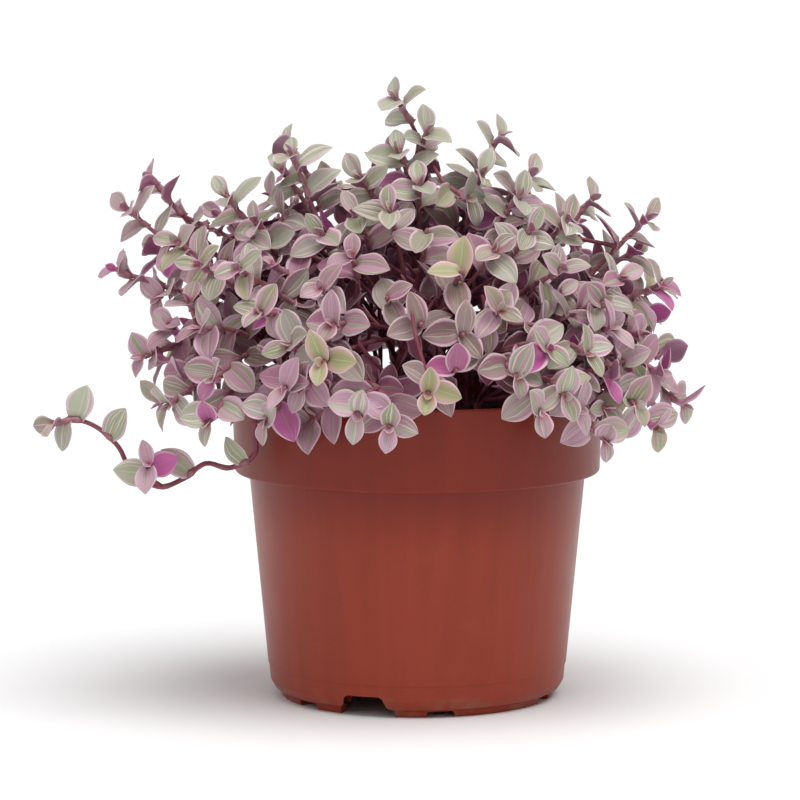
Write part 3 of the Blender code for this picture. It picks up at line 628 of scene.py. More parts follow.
def tube_tree(points, radius):
    """A search tree of the six-sided tube along some points."""
    rings = []
    across = (points[1] - points[0]).orthogonal()
    for index, point in enumerate(points):
        along = points[min(index + 1, len(points) - 1)] - points[max(index - 1, 0)]
        across = (across - across.project(along)).normalized()
        for side in range(TUBE_SIDES):
            turn = Matrix.Rotation(math.tau * side / TUBE_SIDES, 3, along)
            rings.append(point + turn @ across * radius)
    return BVHTree.FromPolygons(rings, ring_faces(len(points), TUBE_SIDES))


def in_pot(point):
    """Whether a point is in the pot's rim or soil, or too near to them."""
    radius = math.hypot(point.x, point.y)
    if point.z > POT_HEIGHT + RIM_KEEP_OVER:
        return False
    if radius < RIM_KEEP_OUT[0]:
        return point.z < SOIL_TOP + STEM_RADIUS
    return radius < RIM_KEEP_OUT[1]


def heading_at(tip):
    """Which way a stem points where it ends: out and down at the rim, and more upright higher up."""
    share = max(0.0, min(1.0, (tip.z - HANGING_TIP) / (UPRIGHT_TIP - HANGING_TIP)))
    return (outward(tip) + UPRIGHT * (HANGING_RISE + (UPRIGHT_RISE - HANGING_RISE) * share)).normalized()


def swept(start, lean, tip, heading, lift, chords):
    """A stem's points from its start to its tip, on one smooth curve."""
    reach = (tip - start).length
    first = start + lean * (SWEEP * reach + lift)
    last = tip - heading * (SWEEP * reach + 0.5 * lift)
    return interpolate_bezier(start, first, last, tip, chords + 1)


def jolt(shake, size):
    """A small random move."""
    return Vector([shake.uniform(-size, size) for _ in range(3)])


def grow(owner, start, lean, tip, trees, shake, chords):
    """A path from start to tip that keeps clear of the pot and of the other arms, or None."""
    for attempt in range(STEM_TRIES):
        moved = tip + jolt(shake, STEM_STRAY * attempt)
        turned = (lean + jolt(shake, LEAN_STRAY * attempt)).normalized()
        lift = shake.uniform(0.0, STEM_STRAY * attempt)
        path = swept(start, turned, moved, heading_at(moved), lift, chords)
        points = finely(path)
        beyond = [point for point in points if (point - start).length > FORK_LENGTH]
        if len(beyond) < 2 or any(in_pot(point) for point in beyond):
            continue
        whole = tube_tree(points, STEM_RADIUS + STEM_CLEARANCE)
        outer = tube_tree(beyond, STEM_RADIUS + STEM_CLEARANCE)
        if not any((outer if name == owner else whole).overlap(tree) for name, tree in trees):
            return path
    return None


def grow_off(owner, stem, fork, tip, trees, shake, chords):
    """A branch that leaves a stem at one of its points and grows to its own tip, or None."""
    start = stem[fork]
    lean = (stem[fork + 1] - start).normalized() * FORK_ALONG + (tip - start).normalized()
    return grow(owner, start, lean.normalized(), tip, trees, shake, chords)


def spread_roots(count):
    """Places on the soil, as evenly spread as a sunflower's seeds."""
    roots = []
    for index in range(count):
        radius = ROOT_DISC * math.sqrt((index + 0.5) / count)
        angle = -math.tau * GOLDEN_SHARE * index
        roots.append(Vector((radius * math.cos(angle), radius * math.sin(angle), 0.0)))
    return roots


def back_tips(shake):
    """The tips of the shoots behind, spread over the back half of the dome."""
    tips = []
    for index in range(BACK_SHOOTS):
        bearing = BACK_FROM + (BACK_TO - BACK_FROM) * ((index + 0.5) * GOLDEN_SHARE % 1.0)
        rise = BACK_LOW + (BACK_HIGH - BACK_LOW) * (index + 0.5) / BACK_SHOOTS
        pair = []
        for side in (0.0, shake.choice((-1, 1)) * BACK_FORK):
            level = math.cos(rise - abs(side))
            reach = shake.uniform(*BACK_REACH)
            spot = Vector(
                (
                    DOME_RADII[0] * level * math.cos(bearing + side),
                    DOME_RADII[1] * level * math.sin(bearing + side),
                    DOME_RADII[2] * math.sin(rise - abs(side)),
                )
            )
            pair.append(DOME_CENTRE + spot * reach)
        tips.append((pair[0], pair[1], shake.choice(BACK_CASTS)))
    return tips


def in_pocket(point):
    """Whether a point is in the pocket that is left open over the rim."""
    return all(low * MM < value < high * MM for value, (low, high) in zip(point, POCKET))


def twig_tip(stem, tips, shake):
    """A tip for a stem's second branch, in the widest space left between the tips around it."""
    ahead = (stem[-1] - stem[BRANCH_FORK]).normalized()
    best = None
    for _ in range(TWIG_SEARCH):
        one, other = shake.sample(tips, 2)
        place = one.lerp(other, 0.5) + jolt(shake, TWIG_STRAY)
        offset = place - stem[BRANCH_FORK]
        near = TWIG_REACH[0] < offset.length < TWIG_REACH[1]
        if not near or offset.dot(ahead) < TWIG_LEAN * offset.length:
            continue
        if place.z < LOWEST_TWIG or in_pocket(place):
            continue
        room = min((place - tip).length for tip in tips)
        if best is None or room > best[0]:
            best = (room, place)
    return best and best[1]


def add_arm(shoot, forks, trees, tips, shake):
    """One more arm for a shoot, from the first of its stem's forks that has a clear way, or none."""
    stem = shoot.arms[0]
    place = twig_tip(stem, tips, shake)
    arm = None
    for fork in forks:
        if place and not arm:
            arm = grow_off(shoot.name, stem, fork, place, trees, shake, TWIG_CHORDS)
    shoot.arms.append(arm)
    if arm:
        trees.append((shoot.name, tube_tree(arm, STEM_RADIUS)))
        tips.append(arm[-1])


def plan_shoots():
    """Every shoot's stem and branches, grown one after the other so that none meets another."""
    shake = random.Random(SHOOT_SEED)
    wanted = [
        (Vector(tip) * MM, Vector(side) * MM, cast) for tip, side, cast in FRONT_SHOOTS
    ] + back_tips(shake)
    runner = [Vector(point) * MM for point in RUNNER_ROUTE]
    lean = (runner[RUNNER_FORK + 1] - runner[RUNNER_FORK]).normalized()
    side_arm = swept(runner[RUNNER_FORK], lean, *RUNNER_BRANCH, 0.0, BRANCH_CHORDS)
    shoots = [Shoot(RUNNER, "g", [runner, side_arm, None])]
    trees = [(RUNNER, tube_tree(arm, STEM_RADIUS)) for arm in (runner, side_arm)]
    free = spread_roots(len(wanted) + 1)
    free.remove(min(free, key=lambda spot: (spot - outward(runner[0]) * ROOT_DISC).length))
    tips = []
    for index, (tip, side, cast) in enumerate(wanted):
        name = f"shoot_{index + 1:02d}"
        spot = Vector((tip.x, tip.y, 0.0)) * ROOT_UNDER
        if tip.z < LOW_TIP:
            spot = outward(tip) * ROOT_DISC
        root = min(free, key=lambda place: (place - spot).length)
        free.remove(root)
        stem = grow(name, root + SOIL_LEVEL, UPRIGHT, tip, trees, shake, STEM_CHORDS)
        branch = grow_off(name, stem, BRANCH_FORK, side, trees, shake, BRANCH_CHORDS)
        for arm in (stem, branch):
            trees.append((name, tube_tree(arm, STEM_RADIUS)))
            tips.append(arm[-1])
        shoots.append(Shoot(name, cast, [stem, branch]))
    for shoot in shoots[1:]:
        add_arm(shoot, TWIG_FORKS, trees, tips, shake)
    return shoots


def spot_on(path, distance):
    """The point at a distance down a path from its tip, and the way the path grows there."""
    for near, far in zip(path[::-1], path[-2::-1]):
        step = (near - far).length
        if distance <= step:
            return near.lerp(far, distance / step), (near - far).normalized()
        distance -= step
    return path[0], (path[1] - path[0]).normalized()


def light_at(point):
    """Where the leaves at a point turn: out and up, and those in front also to the front."""
    ahead = max(0.0, min(1.0, 0.5 - point.y / LIGHT_AHEAD))
    outer = (outward(point) + FRONT * ahead).normalized()
    return (outer * LIGHT_OUT + UPRIGHT * LIGHT_UP).normalized()


def leaf_on(path, step, side, bearing, view, attempt, shake):
    """One leaf on a stem: it clasps the stem, stands off to one side and faces the light."""
    distance, size, turn, raised = LEAF_STEPS[step]
    point, grows = spot_on(path, distance)
    light = view or light_at(point)
    sideways = grows.cross(light).normalized()
    spread = TURN_SHAKE + TURN_SHAKE_STEP * attempt
    angle = math.radians(turn) + bearing + shake.uniform(-spread, spread)
    away = sideways * side * math.cos(angle) + grows.cross(sideways) * math.sin(angle)
    rise = math.radians(raised + shake.uniform(-RISE_SHAKE, RISE_SHAKE))
    forward = away * math.cos(rise) + grows * math.sin(rise)
    faces = grows * FACE_ALONG + light + jolt(shake, FACE_SHAKE)
    across = faces.cross(forward).normalized()
    frame = Matrix((forward, across, forward.cross(across))).transposed().to_4x4()
    frame.translation = point - forward * LEAF_BURY
    shrink = size * (1.0 - LEAF_LOSS * attempt)
    length = LEAF_LENGTH * shrink * shake.uniform(*LENGTH_RANGE)
    width = LEAF_WIDTH * shrink * shake.uniform(*WIDTH_RANGE)
    return Leaf(frame, length, width, shake.uniform(*CURL_RANGE), shake.uniform(*CUP_RANGE))


def leaf_clear(leaf, corners, faces, owner, stems, leaves):
    """Whether a leaf is clear of the pot, of the other shoots and of the leaves that it could meet."""
    for u in TRIED_ALONG:
        if any(in_pot(leaf_point(leaf, u, v)) for v in TRIED_ACROSS):
            return False
    tree = BVHTree.FromPolygons(lens_points(leaf, corners, LEAF_CLEARANCE), faces)
    middle = leaf_point(leaf, 0.5, 0.0)
    for name, other in stems:
        if name != owner[0] and tree.overlap(other):
            return False
    for name, order, place, other in leaves:
        beside = name == owner[0] and abs(order - owner[1]) < 2
        if not beside and (place - middle).length < LEAF_NEAR and tree.overlap(other):
            return False
    return True


def leaf_out(shoots, shoot_steps, runner_steps, placed):
    """Leaves for every arm of every shoot, the outermost first, each turned until it has room."""
    corners, faces = bipyramid(TEST_SIDES)
    stems = []
    for shoot in shoots:
        for path in filter(None, shoot.arms):
            stems.append((shoot.name, tube_tree(path, STEM_RADIUS + GAP)))
    grown = {shoot.name: [] for shoot in shoots}
    for step in range(len(LEAF_STEPS)):
        for index, shoot in enumerate(shoots):
            wanted = runner_steps if shoot.name == RUNNER else shoot_steps
            for arm, path in enumerate(shoot.arms):
                if not path or step not in wanted[arm]:
                    continue
                length = sum((b - a).length for a, b in zip(path, path[1:]))
                if LEAF_STEPS[step][0] > length - BARE_BASE[arm]:
                    continue
                shake = random.Random(1000 * index + 100 * arm + step)
                bearing = random.Random(10 * index + arm).uniform(-ARM_TURN, ARM_TURN)
                side = 1 if (arm + index) % 2 else -1
                view = RUNNER_FACES if shoot.name == RUNNER else None
                order = 100 * arm + step
                for attempt in range(LEAF_TRIES):
                    leaf = leaf_on(path, step, side, bearing, view, attempt, shake)
                    if leaf_clear(leaf, corners, faces, (shoot.name, order), stems, placed):
                        tree = BVHTree.FromPolygons(lens_points(leaf, corners), faces)
                        placed.append((shoot.name, order, leaf_point(leaf, 0.5, 0.0), tree))
                        grown[shoot.name].append(leaf)
                        break
    return grown


def joined(meshes):
    """Several meshes as one: their points, their faces, and the values on their points."""
    faces, start = [], 0
    for own_points, own_faces, _ in meshes:
        faces += [tuple(start + corner for corner in face) for face in own_faces]
        start += len(own_points)
    points, _, values = zip(*meshes)
    return np.concatenate(points), faces, np.concatenate(values)


def add_object(name, data):
    """A new object in the scene."""
    made = bpy.data.objects.new(name, data)
    bpy.context.scene.collection.objects.link(made)
    return made


def mesh_object(name, points, faces, look, attributes=()):
    """A smooth-shaded object of a mesh, with named vector attributes on its points."""
    mesh = bpy.data.meshes.new(name)
    mesh.from_pydata(points, [], faces)
    for label, values in attributes:
        layer = mesh.attributes.new(label, "FLOAT_VECTOR", "POINT")
        layer.data.foreach_set("vector", np.asarray(values, np.float32).ravel())
    mesh.shade_smooth()
    mesh.materials.append(look)
    return add_object(name, mesh)


def settle(piece, slot, *nodes):
    """A piece rides on the one body and stands for its CAD nodes. Its slot is not used."""
    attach(piece, "root")
    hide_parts(*nodes)


# ---- Leaves ----


def smoothstep(low, high, x):
    """A smooth rise from 0 at low to 1 at high."""
    t = np.clip((x - low) / (high - low), 0.0, 1.0)
    return t * t * (3.0 - 2.0 * t)


def lamina_template():
    """One leaf's points as shares (along, across, face) and its faces."""
    section = [(1.0, 0.0)]
    section += [(v, 1.0) for v in LAMINA_SPREAD]
    section += [(-1.0, 0.0)]
    section += [(-v, -1.0) for v in LAMINA_SPREAD]
    shares = [(u, v, side) for u in LAMINA_STATIONS for v, side in section]
    around = len(section)
    faces = ring_faces(len(LAMINA_STATIONS), around)
    base, tip = len(shares), len(shares) + 1
    last = base - around
    for j in range(around):
        after = (j + 1) % around
        faces += [(base, after, j), (last + j, last + after, tip)]
    return np.array([*shares, (0.0, 0.0, 0.0), (1.0, 0.0, 0.0)]), faces


def blade_section(leaf, u, v, scale, shake):
    """How far across and how high a leaf's points lie at each station: cupped, folded and wavy."""
    outline = half_width(u)
    blade = 0.5 * leaf.width * outline * smoothstep(*BLADE_FROM, u)
    clasp = CLASP_HALF_WIDTH * scale**0.5 * (1.0 - smoothstep(0.0, CLASP_REACH, u))
    across = (blade**4 + clasp**4) ** 0.25 * v
    cup = 1.0 + shake.uniform(-CUP_SHAKE, CUP_SHAKE) * np.sign(v)
    rise = cup * leaf.cup * across**2 / leaf.width + FOLD * np.abs(across)
    rise += BASE_FOLD * np.abs(across) * (1.0 - smoothstep(0.0, BASE_FOLD_REACH, u))
    rise -= MIDRIB_DEPTH * scale * np.exp(-((v / MIDRIB_WIDTH) ** 2)) * np.minimum(outline, 1.0)
    wave = shake.uniform(*WAVE_RANGE) * EDGE_WAVE * scale
    rise += wave * v * np.abs(v) * np.sin(WAVE_TURN * u + shake.uniform(0.0, math.tau)) * outline
    return across, rise


def lamina_points(leaf, grows, inner, shares, shake):
    """Where a leaf's points are: its base runs up the stem and turns out into a folded, arched blade."""
    u, v, side = shares.T
    scale = leaf.length / LEAF_LENGTH
    across, rise = blade_section(leaf, u, v, scale, shake)
    bend = leaf.curl * u
    along = leaf.length * np.sin(bend) / leaf.curl
    sink = leaf.length * (1.0 - np.cos(bend)) / leaf.curl
    droop = shake.uniform(*DROOP_RANGE) * scale
    sink += droop * (np.maximum(u - DROOP_FROM, 0.0) / (1.0 - DROOP_FROM)) ** 2
    thick = LAMINA * (1.0 - MARGIN_THIN * v**2) * np.minimum(1.0, TIP_THICK + TIP_TAPER * (1.0 - u))
    thick += BASE_THICK * scale * np.exp(-((u / BASE_THICK_REACH) ** 2))
    lift = rise + 0.5 * thick * side
    turn = shake.uniform(-TWIST, TWIST) * u
    turn += shake.uniform(-INNER_ROLL, INNER_ROLL) * inner * smoothstep(*INNER_ROLL_FROM, u)
    wide = across * np.cos(turn) - lift * np.sin(turn)
    high = across * np.sin(turn) + lift * np.cos(turn)
    spin = np.array(leaf.frame.to_3x3())
    stem = spin.T @ np.array(grows)
    stem = np.array((stem[0], 0.0, max(stem[2], STEM_BEHIND)))
    stem /= np.linalg.norm(stem)
    low = 1.0 - smoothstep(0.0, SHEATH_REACH, u)
    drop = SHEATH_DROP * scale**SHEATH_BY_SIZE * low**SHEATH_FALL
    lean = math.atan2(stem[2], stem[0]) * low
    forward = along * (1.0 - BASE_GATHER * low) + SHEATH_OUT * low + high * np.sin(bend - lean)
    upward = high * np.cos(bend - lean) - sink
    local = np.column_stack((forward - drop * stem[0], wide, upward - drop * stem[2]))
    return local @ spin.T + np.array(leaf.frame.translation)


def add_sprigs(shoots, placed):
    """More side shoots than the CAD nodes have, in the widest spaces left between the tips."""
    shake = random.Random(SPRIG_SEED)
    arms = [(shoot.name, arm) for shoot in shoots for arm in shoot.arms if arm]
    trees = [(name, tube_tree(arm, STEM_RADIUS)) for name, arm in arms]
    trees += [(name, tree) for name, _, _, tree in placed]
    tips = [arm[-1] for _, arm in arms]
    for forks in SPRIG_FORKS:
        for shoot in shoots[1:]:
            add_arm(shoot, forks, trees, tips, shake)


def how_far_in(point, tips):
    """From 0 at the crown's surface, which the tips around a point show, to 1 deep in its shade."""
    away = np.array(point - HEART)
    reaches = np.linalg.norm(tips, axis=1)
    aims = tips @ away / (reaches * np.linalg.norm(away))
    weights = np.exp((aims - 1.0) / TIP_BLUR)
    return smoothstep(*INNER, weights @ reaches / weights.sum() - np.linalg.norm(away))


def in_hollow(point):
    """From 0 outside the hollow in the front of the crown to 1 in its middle."""
    across = (point.x - HOLLOW_MIDDLE[0]) / HOLLOW_REACH[0]
    up = (point.z - HOLLOW_MIDDLE[1]) / HOLLOW_REACH[1]
    return 0.0 if point.y > HOLLOW_BACK else smoothstep(*HOLLOW_EDGE, math.hypot(across, up))


def left_bare(point):
    """Whether a place in the hollow gets no leaves but those of the CAD nodes."""
    return point.y < HOLLOW_BARE_BACK and in_hollow(point) > HOLLOW_BARE


def leaf_colours(shoot, leaf, inner, shake):
    """A leaf's own place in the pattern: its tint, its cast, and how much painted shade it takes, each of
    three.
    """
    base = leaf.frame.translation
    near = shoot.cast == "y" and (base - shoot.arms[0][-1]).length < GOLDEN_REACH
    rosette = shoot.name == RUNNER and (base - shoot.arms[1][-1]).length < ROSETTE_REACH
    lift = max(smoothstep(*CROWN_TOP, base.z), RIM_LIFT * smoothstep(*CROWN_RIM, base.z))
    youth = min(1.0, max(0.0, (YOUNG_FROM - leaf.length / LEAF_LENGTH) / YOUNG_SPAN))
    gold = 1.0 if near else GOLD_ELSEWHERE * shake.random() ** GOLD_RARITY
    rosy = 0.0
    if not near:
        pink = PINK_ROSETTE if rosette else PINK_SHARE[shoot.cast]
        rosy = shake.uniform(*pink) * (1.0 - TOP_PINK_LOSS * lift) + LOW_PINK * (1.0 - lift)
    glowing = rosette and leaf.frame.col[0].x > MAGENTA_ASIDE
    seed = 1.0 if glowing else shake.random()
    # Paler towards the top, partly painted light from above
    paleness = 1.0 - (1.0 - shake.random()) * (1.0 - TOP_PALENESS * lift)
    veil = 0.0 if near else shake.uniform(LOW_VEIL * (1.0 - lift), 1.0 - TOP_CLEAR * lift)
    # Painted shade: in the front hollow, and deep in the crown, less towards the top
    shade = 0.0 if near else HOLLOW_PAINTED_SHADE * in_hollow(base)
    painted_shade = max(inner * (1.0 - TOP_LIGHT * lift), shade)
    return seed, rosy, youth, gold, paleness, veil, painted_shade, 0.0, 0.0


def make_leaves(shoot, leaves, tips, look, shake):
    """All the leaves of one shoot as one piece, each with its own place in the pattern."""
    shares, template = lamina_template()
    pattern = np.column_stack((shares[:, 0], shares[:, 1], 0.5 - 0.5 * shares[:, 2]))
    blades = []
    for leaf, grows in leaves:
        inner = 0.0 if shoot.name == RUNNER else how_far_in(leaf.frame.translation, tips)
        points = lamina_points(leaf, grows, inner, shares, shake)
        colours = np.tile(leaf_colours(shoot, leaf, inner, shake), (len(shares), 1))
        blades.append((points, template, np.hstack((pattern, colours))))
    points, faces, values = joined(blades)
    attributes = zip(("lamina", "tint", "cast", "painted_shade_share"), np.hsplit(values, 4))
    made = mesh_object(f"{shoot.name}_leaves", points, faces, look, attributes)
    settle(made, "shoot", shoot.name)


# ---- Stems ----


def smooth_path(path, spacing):
    """Points along a smooth curve through a path's points."""
    knots = [np.array(point) for point in path]
    knots = [2 * knots[0] - knots[1], *knots, 2 * knots[-1] - knots[-2]]
    out = []
    for a, b, c, d in zip(knots, knots[1:], knots[2:], knots[3:]):
        count = max(2, round(np.linalg.norm(c - b) / spacing))
        square, cube = 2 * a - 5 * b + 4 * c - d, 3 * b - a - 3 * c + d
        for t in (step / count for step in range(count)):
            out.append(0.5 * (2 * b + (c - a) * t + square * t**2 + cube * t**3))
    out.append(knots[-2])
    return np.array(out)


def swelling(lengths, nodes):
    """How much a stem swells, as a share, at its leaves' sheaths and at its bare nodes."""
    swell = np.zeros_like(lengths)
    for place, size in nodes:
        away = lengths - place
        reach = np.where(away < 0, NODE_BELOW, NODE_ABOVE)
        swell = np.maximum(swell, size * np.exp(-((away / reach) ** 2)))
    return swell


def stalk_rings(centre, swell, first, last):
    """Rings of points round a stem's middle line."""
    rings = []
    ahead = np.gradient(centre, axis=0)
    across = np.array(Vector(ahead[0]).orthogonal().normalized())
    count = len(centre)
    angles = np.arange(STALK_SIDES) * math.tau / STALK_SIDES
    for index in range(count):
        along = ahead[index] / np.linalg.norm(ahead[index])
        across = across - along * across.dot(along)
        across /= np.linalg.norm(across)
        other = np.cross(along, across)
        share = index / (count - 1)
        radius = STALK_RADIUS * (first + (last - first) * share) * (1.0 + swell[index])
        if index == count - 1:
            radius *= STALK_END
        circle = np.outer(np.cos(angles), across) + np.outer(np.sin(angles), other)
        rings.append(centre[index] + radius * circle)
    return rings


def bare_nodes(length, leafy, shake):
    """Places of the old nodes down a stem, where no leaf's node is near."""
    bare = []
    spot = 0.5 * NODE_SPACING
    while spot < length - 0.5 * NODE_SPACING:
        if all(abs(spot - place) > NODE_APART for place, _ in leafy + bare):
            bare.append((spot, SCAR_SWELL))
        spot += NODE_SPACING * shake.uniform(*NODE_SHAKE)
    return bare


def arm_mesh(centre, swell, girth, tint_from, shake):
    """The tube of one stem or branch, closed at both ends, with its values for the stems' look."""
    rings = stalk_rings(centre, swell, *girth)
    values = []
    for share, swollen in zip(np.linspace(tint_from, 1.0, len(rings)), swell):
        values += [(share, swollen / NODE_SWELL, shake.random() * STALK_SHAKE)] * STALK_SIDES
    last = len(values) - STALK_SIDES
    faces = ring_faces(len(rings), STALK_SIDES)
    faces.append(tuple(reversed(range(STALK_SIDES))))
    faces.append(tuple(range(last, last + STALK_SIDES)))
    return np.concatenate(rings), faces, values


def make_stems(shoot, leaves, shake):
    """The mesh of a shoot's stem and branches, and its leaves moved on to the smooth stems."""
    tubes = []
    bases = [np.array(leaf.frame.translation) for leaf in leaves]
    nearest = [(1.0, None, None)] * len(leaves)
    for arm, path in enumerate(shoot.arms):
        if not path:
            continue
        if arm == 0:
            path = [path[0] - UPRIGHT * STALK_PLUG, *path]
        centre = smooth_path(path, STALK_SPACING)
        lengths = np.concatenate(([0.0], np.cumsum(np.linalg.norm(np.diff(centre, axis=0), axis=1))))
        nodes = []
        for index, base in enumerate(bases):
            gaps = np.linalg.norm(centre - base, axis=1)
            closest = int(gaps.argmin())
            if gaps[closest] < nearest[index][0]:
                ahead = centre[min(closest + 1, len(centre) - 1)] - centre[max(closest - 1, 0)]
                nearest[index] = (gaps[closest], centre[closest], ahead / np.linalg.norm(ahead))
            if gaps[closest] < LEAF_ON_STALK:
                nodes.append((lengths[closest], NODE_SWELL))
        nodes += bare_nodes(lengths[-1], nodes, shake)
        girth = BRANCH_GIRTH if arm else RUNNER_GIRTH if shoot.name == RUNNER else STEM_GIRTH
        tint_from = BRANCH_TINT_FROM if arm else 0.0
        tubes.append(arm_mesh(centre, swelling(lengths, nodes), girth, tint_from, shake))
    for leaf, (_, spot, _) in zip(leaves, nearest):
        leaf.frame.translation = Vector(spot) - leaf.frame.to_3x3().col[0] * LEAF_BURY
    return joined(tubes), [(leaf, ahead) for leaf, (_, _, ahead) in zip(leaves, nearest)]


def bundle_of(shoot):
    """Which piece a shoot's stems go into: the runner's own, or that of a quarter of the crown."""
    if shoot.name == RUNNER:
        return "long_runner_stems"
    tip = shoot.arms[0][-1]
    return f"{'front' if tip.y < 0 else 'back'}_{'left' if tip.x < 0 else 'right'}_stems"


def tie_bundle(name, meshes, look):
    """The stems of some shoots as one piece."""
    points, faces, stalk = joined(meshes.values())
    made = mesh_object(name, points, faces, look, (("stalk", stalk),))
    settle(made, "shoot", *meshes)


# ---- Pot and soil ----


def rounded(outline):
    """An outline with each of its corners turned into a small curve."""
    out = [outline[0]]
    for before, corner, after in zip(outline, outline[1:], outline[2:]):
        mid = np.array(corner)
        ends = []
        for other in (before, after):
            side = np.array(other) - mid
            length = np.linalg.norm(side)
            ends.append(mid + side / length * min(ROUNDING, ROUNDING_SHARE * length))
        for step in range(ROUNDING_STEPS + 1):
            t = step / ROUNDING_STEPS
            out.append(tuple((1 - t) ** 2 * ends[0] + 2 * t * (1 - t) * mid + t**2 * ends[1]))
    out.append(outline[-1])
    return out


def ring(radius, height, segments):
    """Points round the pot's axis at one height."""
    angles = [math.tau * side / segments for side in range(segments)]
    return [(radius * math.cos(angle), radius * math.sin(angle), height) for angle in angles]


def turned_faces(rings, segments):
    """Quads between rings of points, and a fan at each end to the single point that follows them."""
    faces = [(a, d, c, b) for a, b, c, d in ring_faces(rings, segments)]
    first = rings * segments
    low = first - segments
    for side in range(segments):
        after = (side + 1) % segments
        faces += [(first, side, after), (low + side, first + 1, low + after)]
    return faces


def turned_mesh(name, outline, segments):
    """A closed body turned about Z from a section that starts and ends on the axis."""
    points = [point for radius, height in outline[1:-1] for point in ring(radius, height, segments)]
    points += [(0.0, 0.0, outline[0][1]), (0.0, 0.0, outline[-1][1])]
    mesh = bpy.data.meshes.new(name)
    mesh.from_pydata(points, [], turned_faces(len(outline) - 2, segments))
    blank = bmesh.new()
    blank.from_mesh(mesh)
    bmesh.ops.recalc_face_normals(blank, faces=blank.faces)
    blank.to_mesh(mesh)
    blank.free()
    return mesh


def prism(outline, depth_from, depth_to, bearing):
    """A cutter: an outline in the wall's plane, carried through the wall at a bearing."""
    blank = bmesh.new()
    near = [blank.verts.new((x, -depth_from, z)) for x, z in outline]
    far = [blank.verts.new((x, -depth_to, z)) for x, z in outline]
    blank.faces.new(near)
    blank.faces.new(far[::-1])
    for index in range(len(outline)):
        after = (index + 1) % len(outline)
        blank.faces.new((near[index], far[index], far[after], near[after]))
    bmesh.ops.recalc_face_normals(blank, faces=blank.faces)
    blank.transform(Matrix.Rotation(-bearing, 4, "Z"))
    mesh = bpy.data.meshes.new("cutter")
    blank.to_mesh(mesh)
    blank.free()
    return mesh


def mirrored(half):
    """A whole outline from its half on the right."""
    return [*half, *[(-x, z) for x, z in reversed(half)]]


def make_cutters(collection):
    """The cutters of the drain notches, and of the gaps between the feet on both sides of each."""
    half = 0.5 * FOOT_GAP_WIDTH
    gap = mirrored(((half, -FOOT_HEIGHT), (half, FOOT_GAP_SHOULDER), (half - FOOT_GAP_SLANT, FOOT_HEIGHT)))
    for index in range(NOTCH_COUNT):
        bearing = NOTCH_BEARING + index * math.tau / NOTCH_COUNT
        cuts = [(mirrored(NOTCH_HALF_OUTLINE), bearing)]
        cuts += [(gap, bearing + side * FOOT_GAP_OFFSET) for side in (-1, 1)]
        for outline, at in cuts:
            cutter = bpy.data.objects.new("cutter", prism(outline, NOTCH_INNER, NOTCH_OUTER, at))
            collection.objects.link(cutter)


def make_pot(look):
    """The moulded pot, with its drain notches and the gaps between its feet cut out."""
    pot = add_object("pot", turned_mesh("pot", rounded(pot_outline()), POT_SEGMENTS))
    cutters = bpy.data.collections.new("cutters")
    bpy.context.scene.collection.children.link(cutters)
    make_cutters(cutters)
    cutting = pot.modifiers.new("cut", "BOOLEAN")
    cutting.operation = "DIFFERENCE"
    cutting.operand_type = "COLLECTION"
    cutting.collection = cutters
    bpy.context.view_layer.update()
    cut_mesh = bpy.data.meshes.new_from_object(pot.evaluated_get(bpy.context.evaluated_depsgraph_get()))
    pot.modifiers.clear()
    pot.data = cut_mesh
    for cutter in list(cutters.objects):
        bpy.data.objects.remove(cutter)
    bpy.data.collections.remove(cutters)
    cut_mesh.shade_smooth()
    cut_mesh.set_sharp_from_angle(angle=SHARP_ANGLE)
    cut_mesh.materials.clear()
    cut_mesh.materials.append(look)
    settle(pot, "pot_plastic", "nursery_pot")


def soil_height(x, y):
    """The lumpy top of the soil."""
    coarse = noise.fractal(Vector((x, y, 0.0)) / COARSE_SIZE, *COARSE_NOISE)
    fine = noise.fractal(Vector((x, y, FINE_LAYER)) / FINE_SIZE, *FINE_NOISE)
    edge = max(0.0, math.hypot(x, y) / (RIM_RADIUS - WALL) - SOIL_EDGE) / (1.0 - SOIL_EDGE)
    return SOIL_TOP + SOIL_RELIEF * (COARSE_SHARE * coarse + FINE_SHARE * fine) - SOIL_FALL * edge


def make_soil(look):
    """The soil's body: a lumpy top, and sides that follow the pot's inside."""
    outer = RIM_RADIUS - WALL - 2 * GAP
    points = []
    for index in range(1, SOIL_RINGS + 1):
        radius = outer * (index / SOIL_RINGS) ** SOIL_CROWDING
        points += [(x, y, soil_height(x, y)) for x, y, _ in ring(radius, 0.0, SOIL_SEGMENTS)]
    ledge, floor = COLLAR_BOTTOM + WALL + GAP, FLOOR_HEIGHT + WALL + GAP
    lowest = WALL_TOP_RADIUS - WALL_SLOPE * (COLLAR_BOTTOM - floor) - WALL - 2 * GAP
    below = [
        (COLLAR_RADIUS - WALL - GAP, ledge),
        (WALL_TOP_RADIUS - WALL - GAP, ledge),
        (lowest, floor),
        (SOIL_FLOOR_RING * lowest, floor),
    ]
    for radius, height in below:
        points += ring(radius, height, SOIL_SEGMENTS)
    points += [(0.0, 0.0, soil_height(0.0, 0.0)), (0.0, 0.0, floor)]
    faces = turned_faces(SOIL_RINGS + len(below), SOIL_SEGMENTS)
    settle(mesh_object("soil", points, faces, look), "soil", "potting_soil")


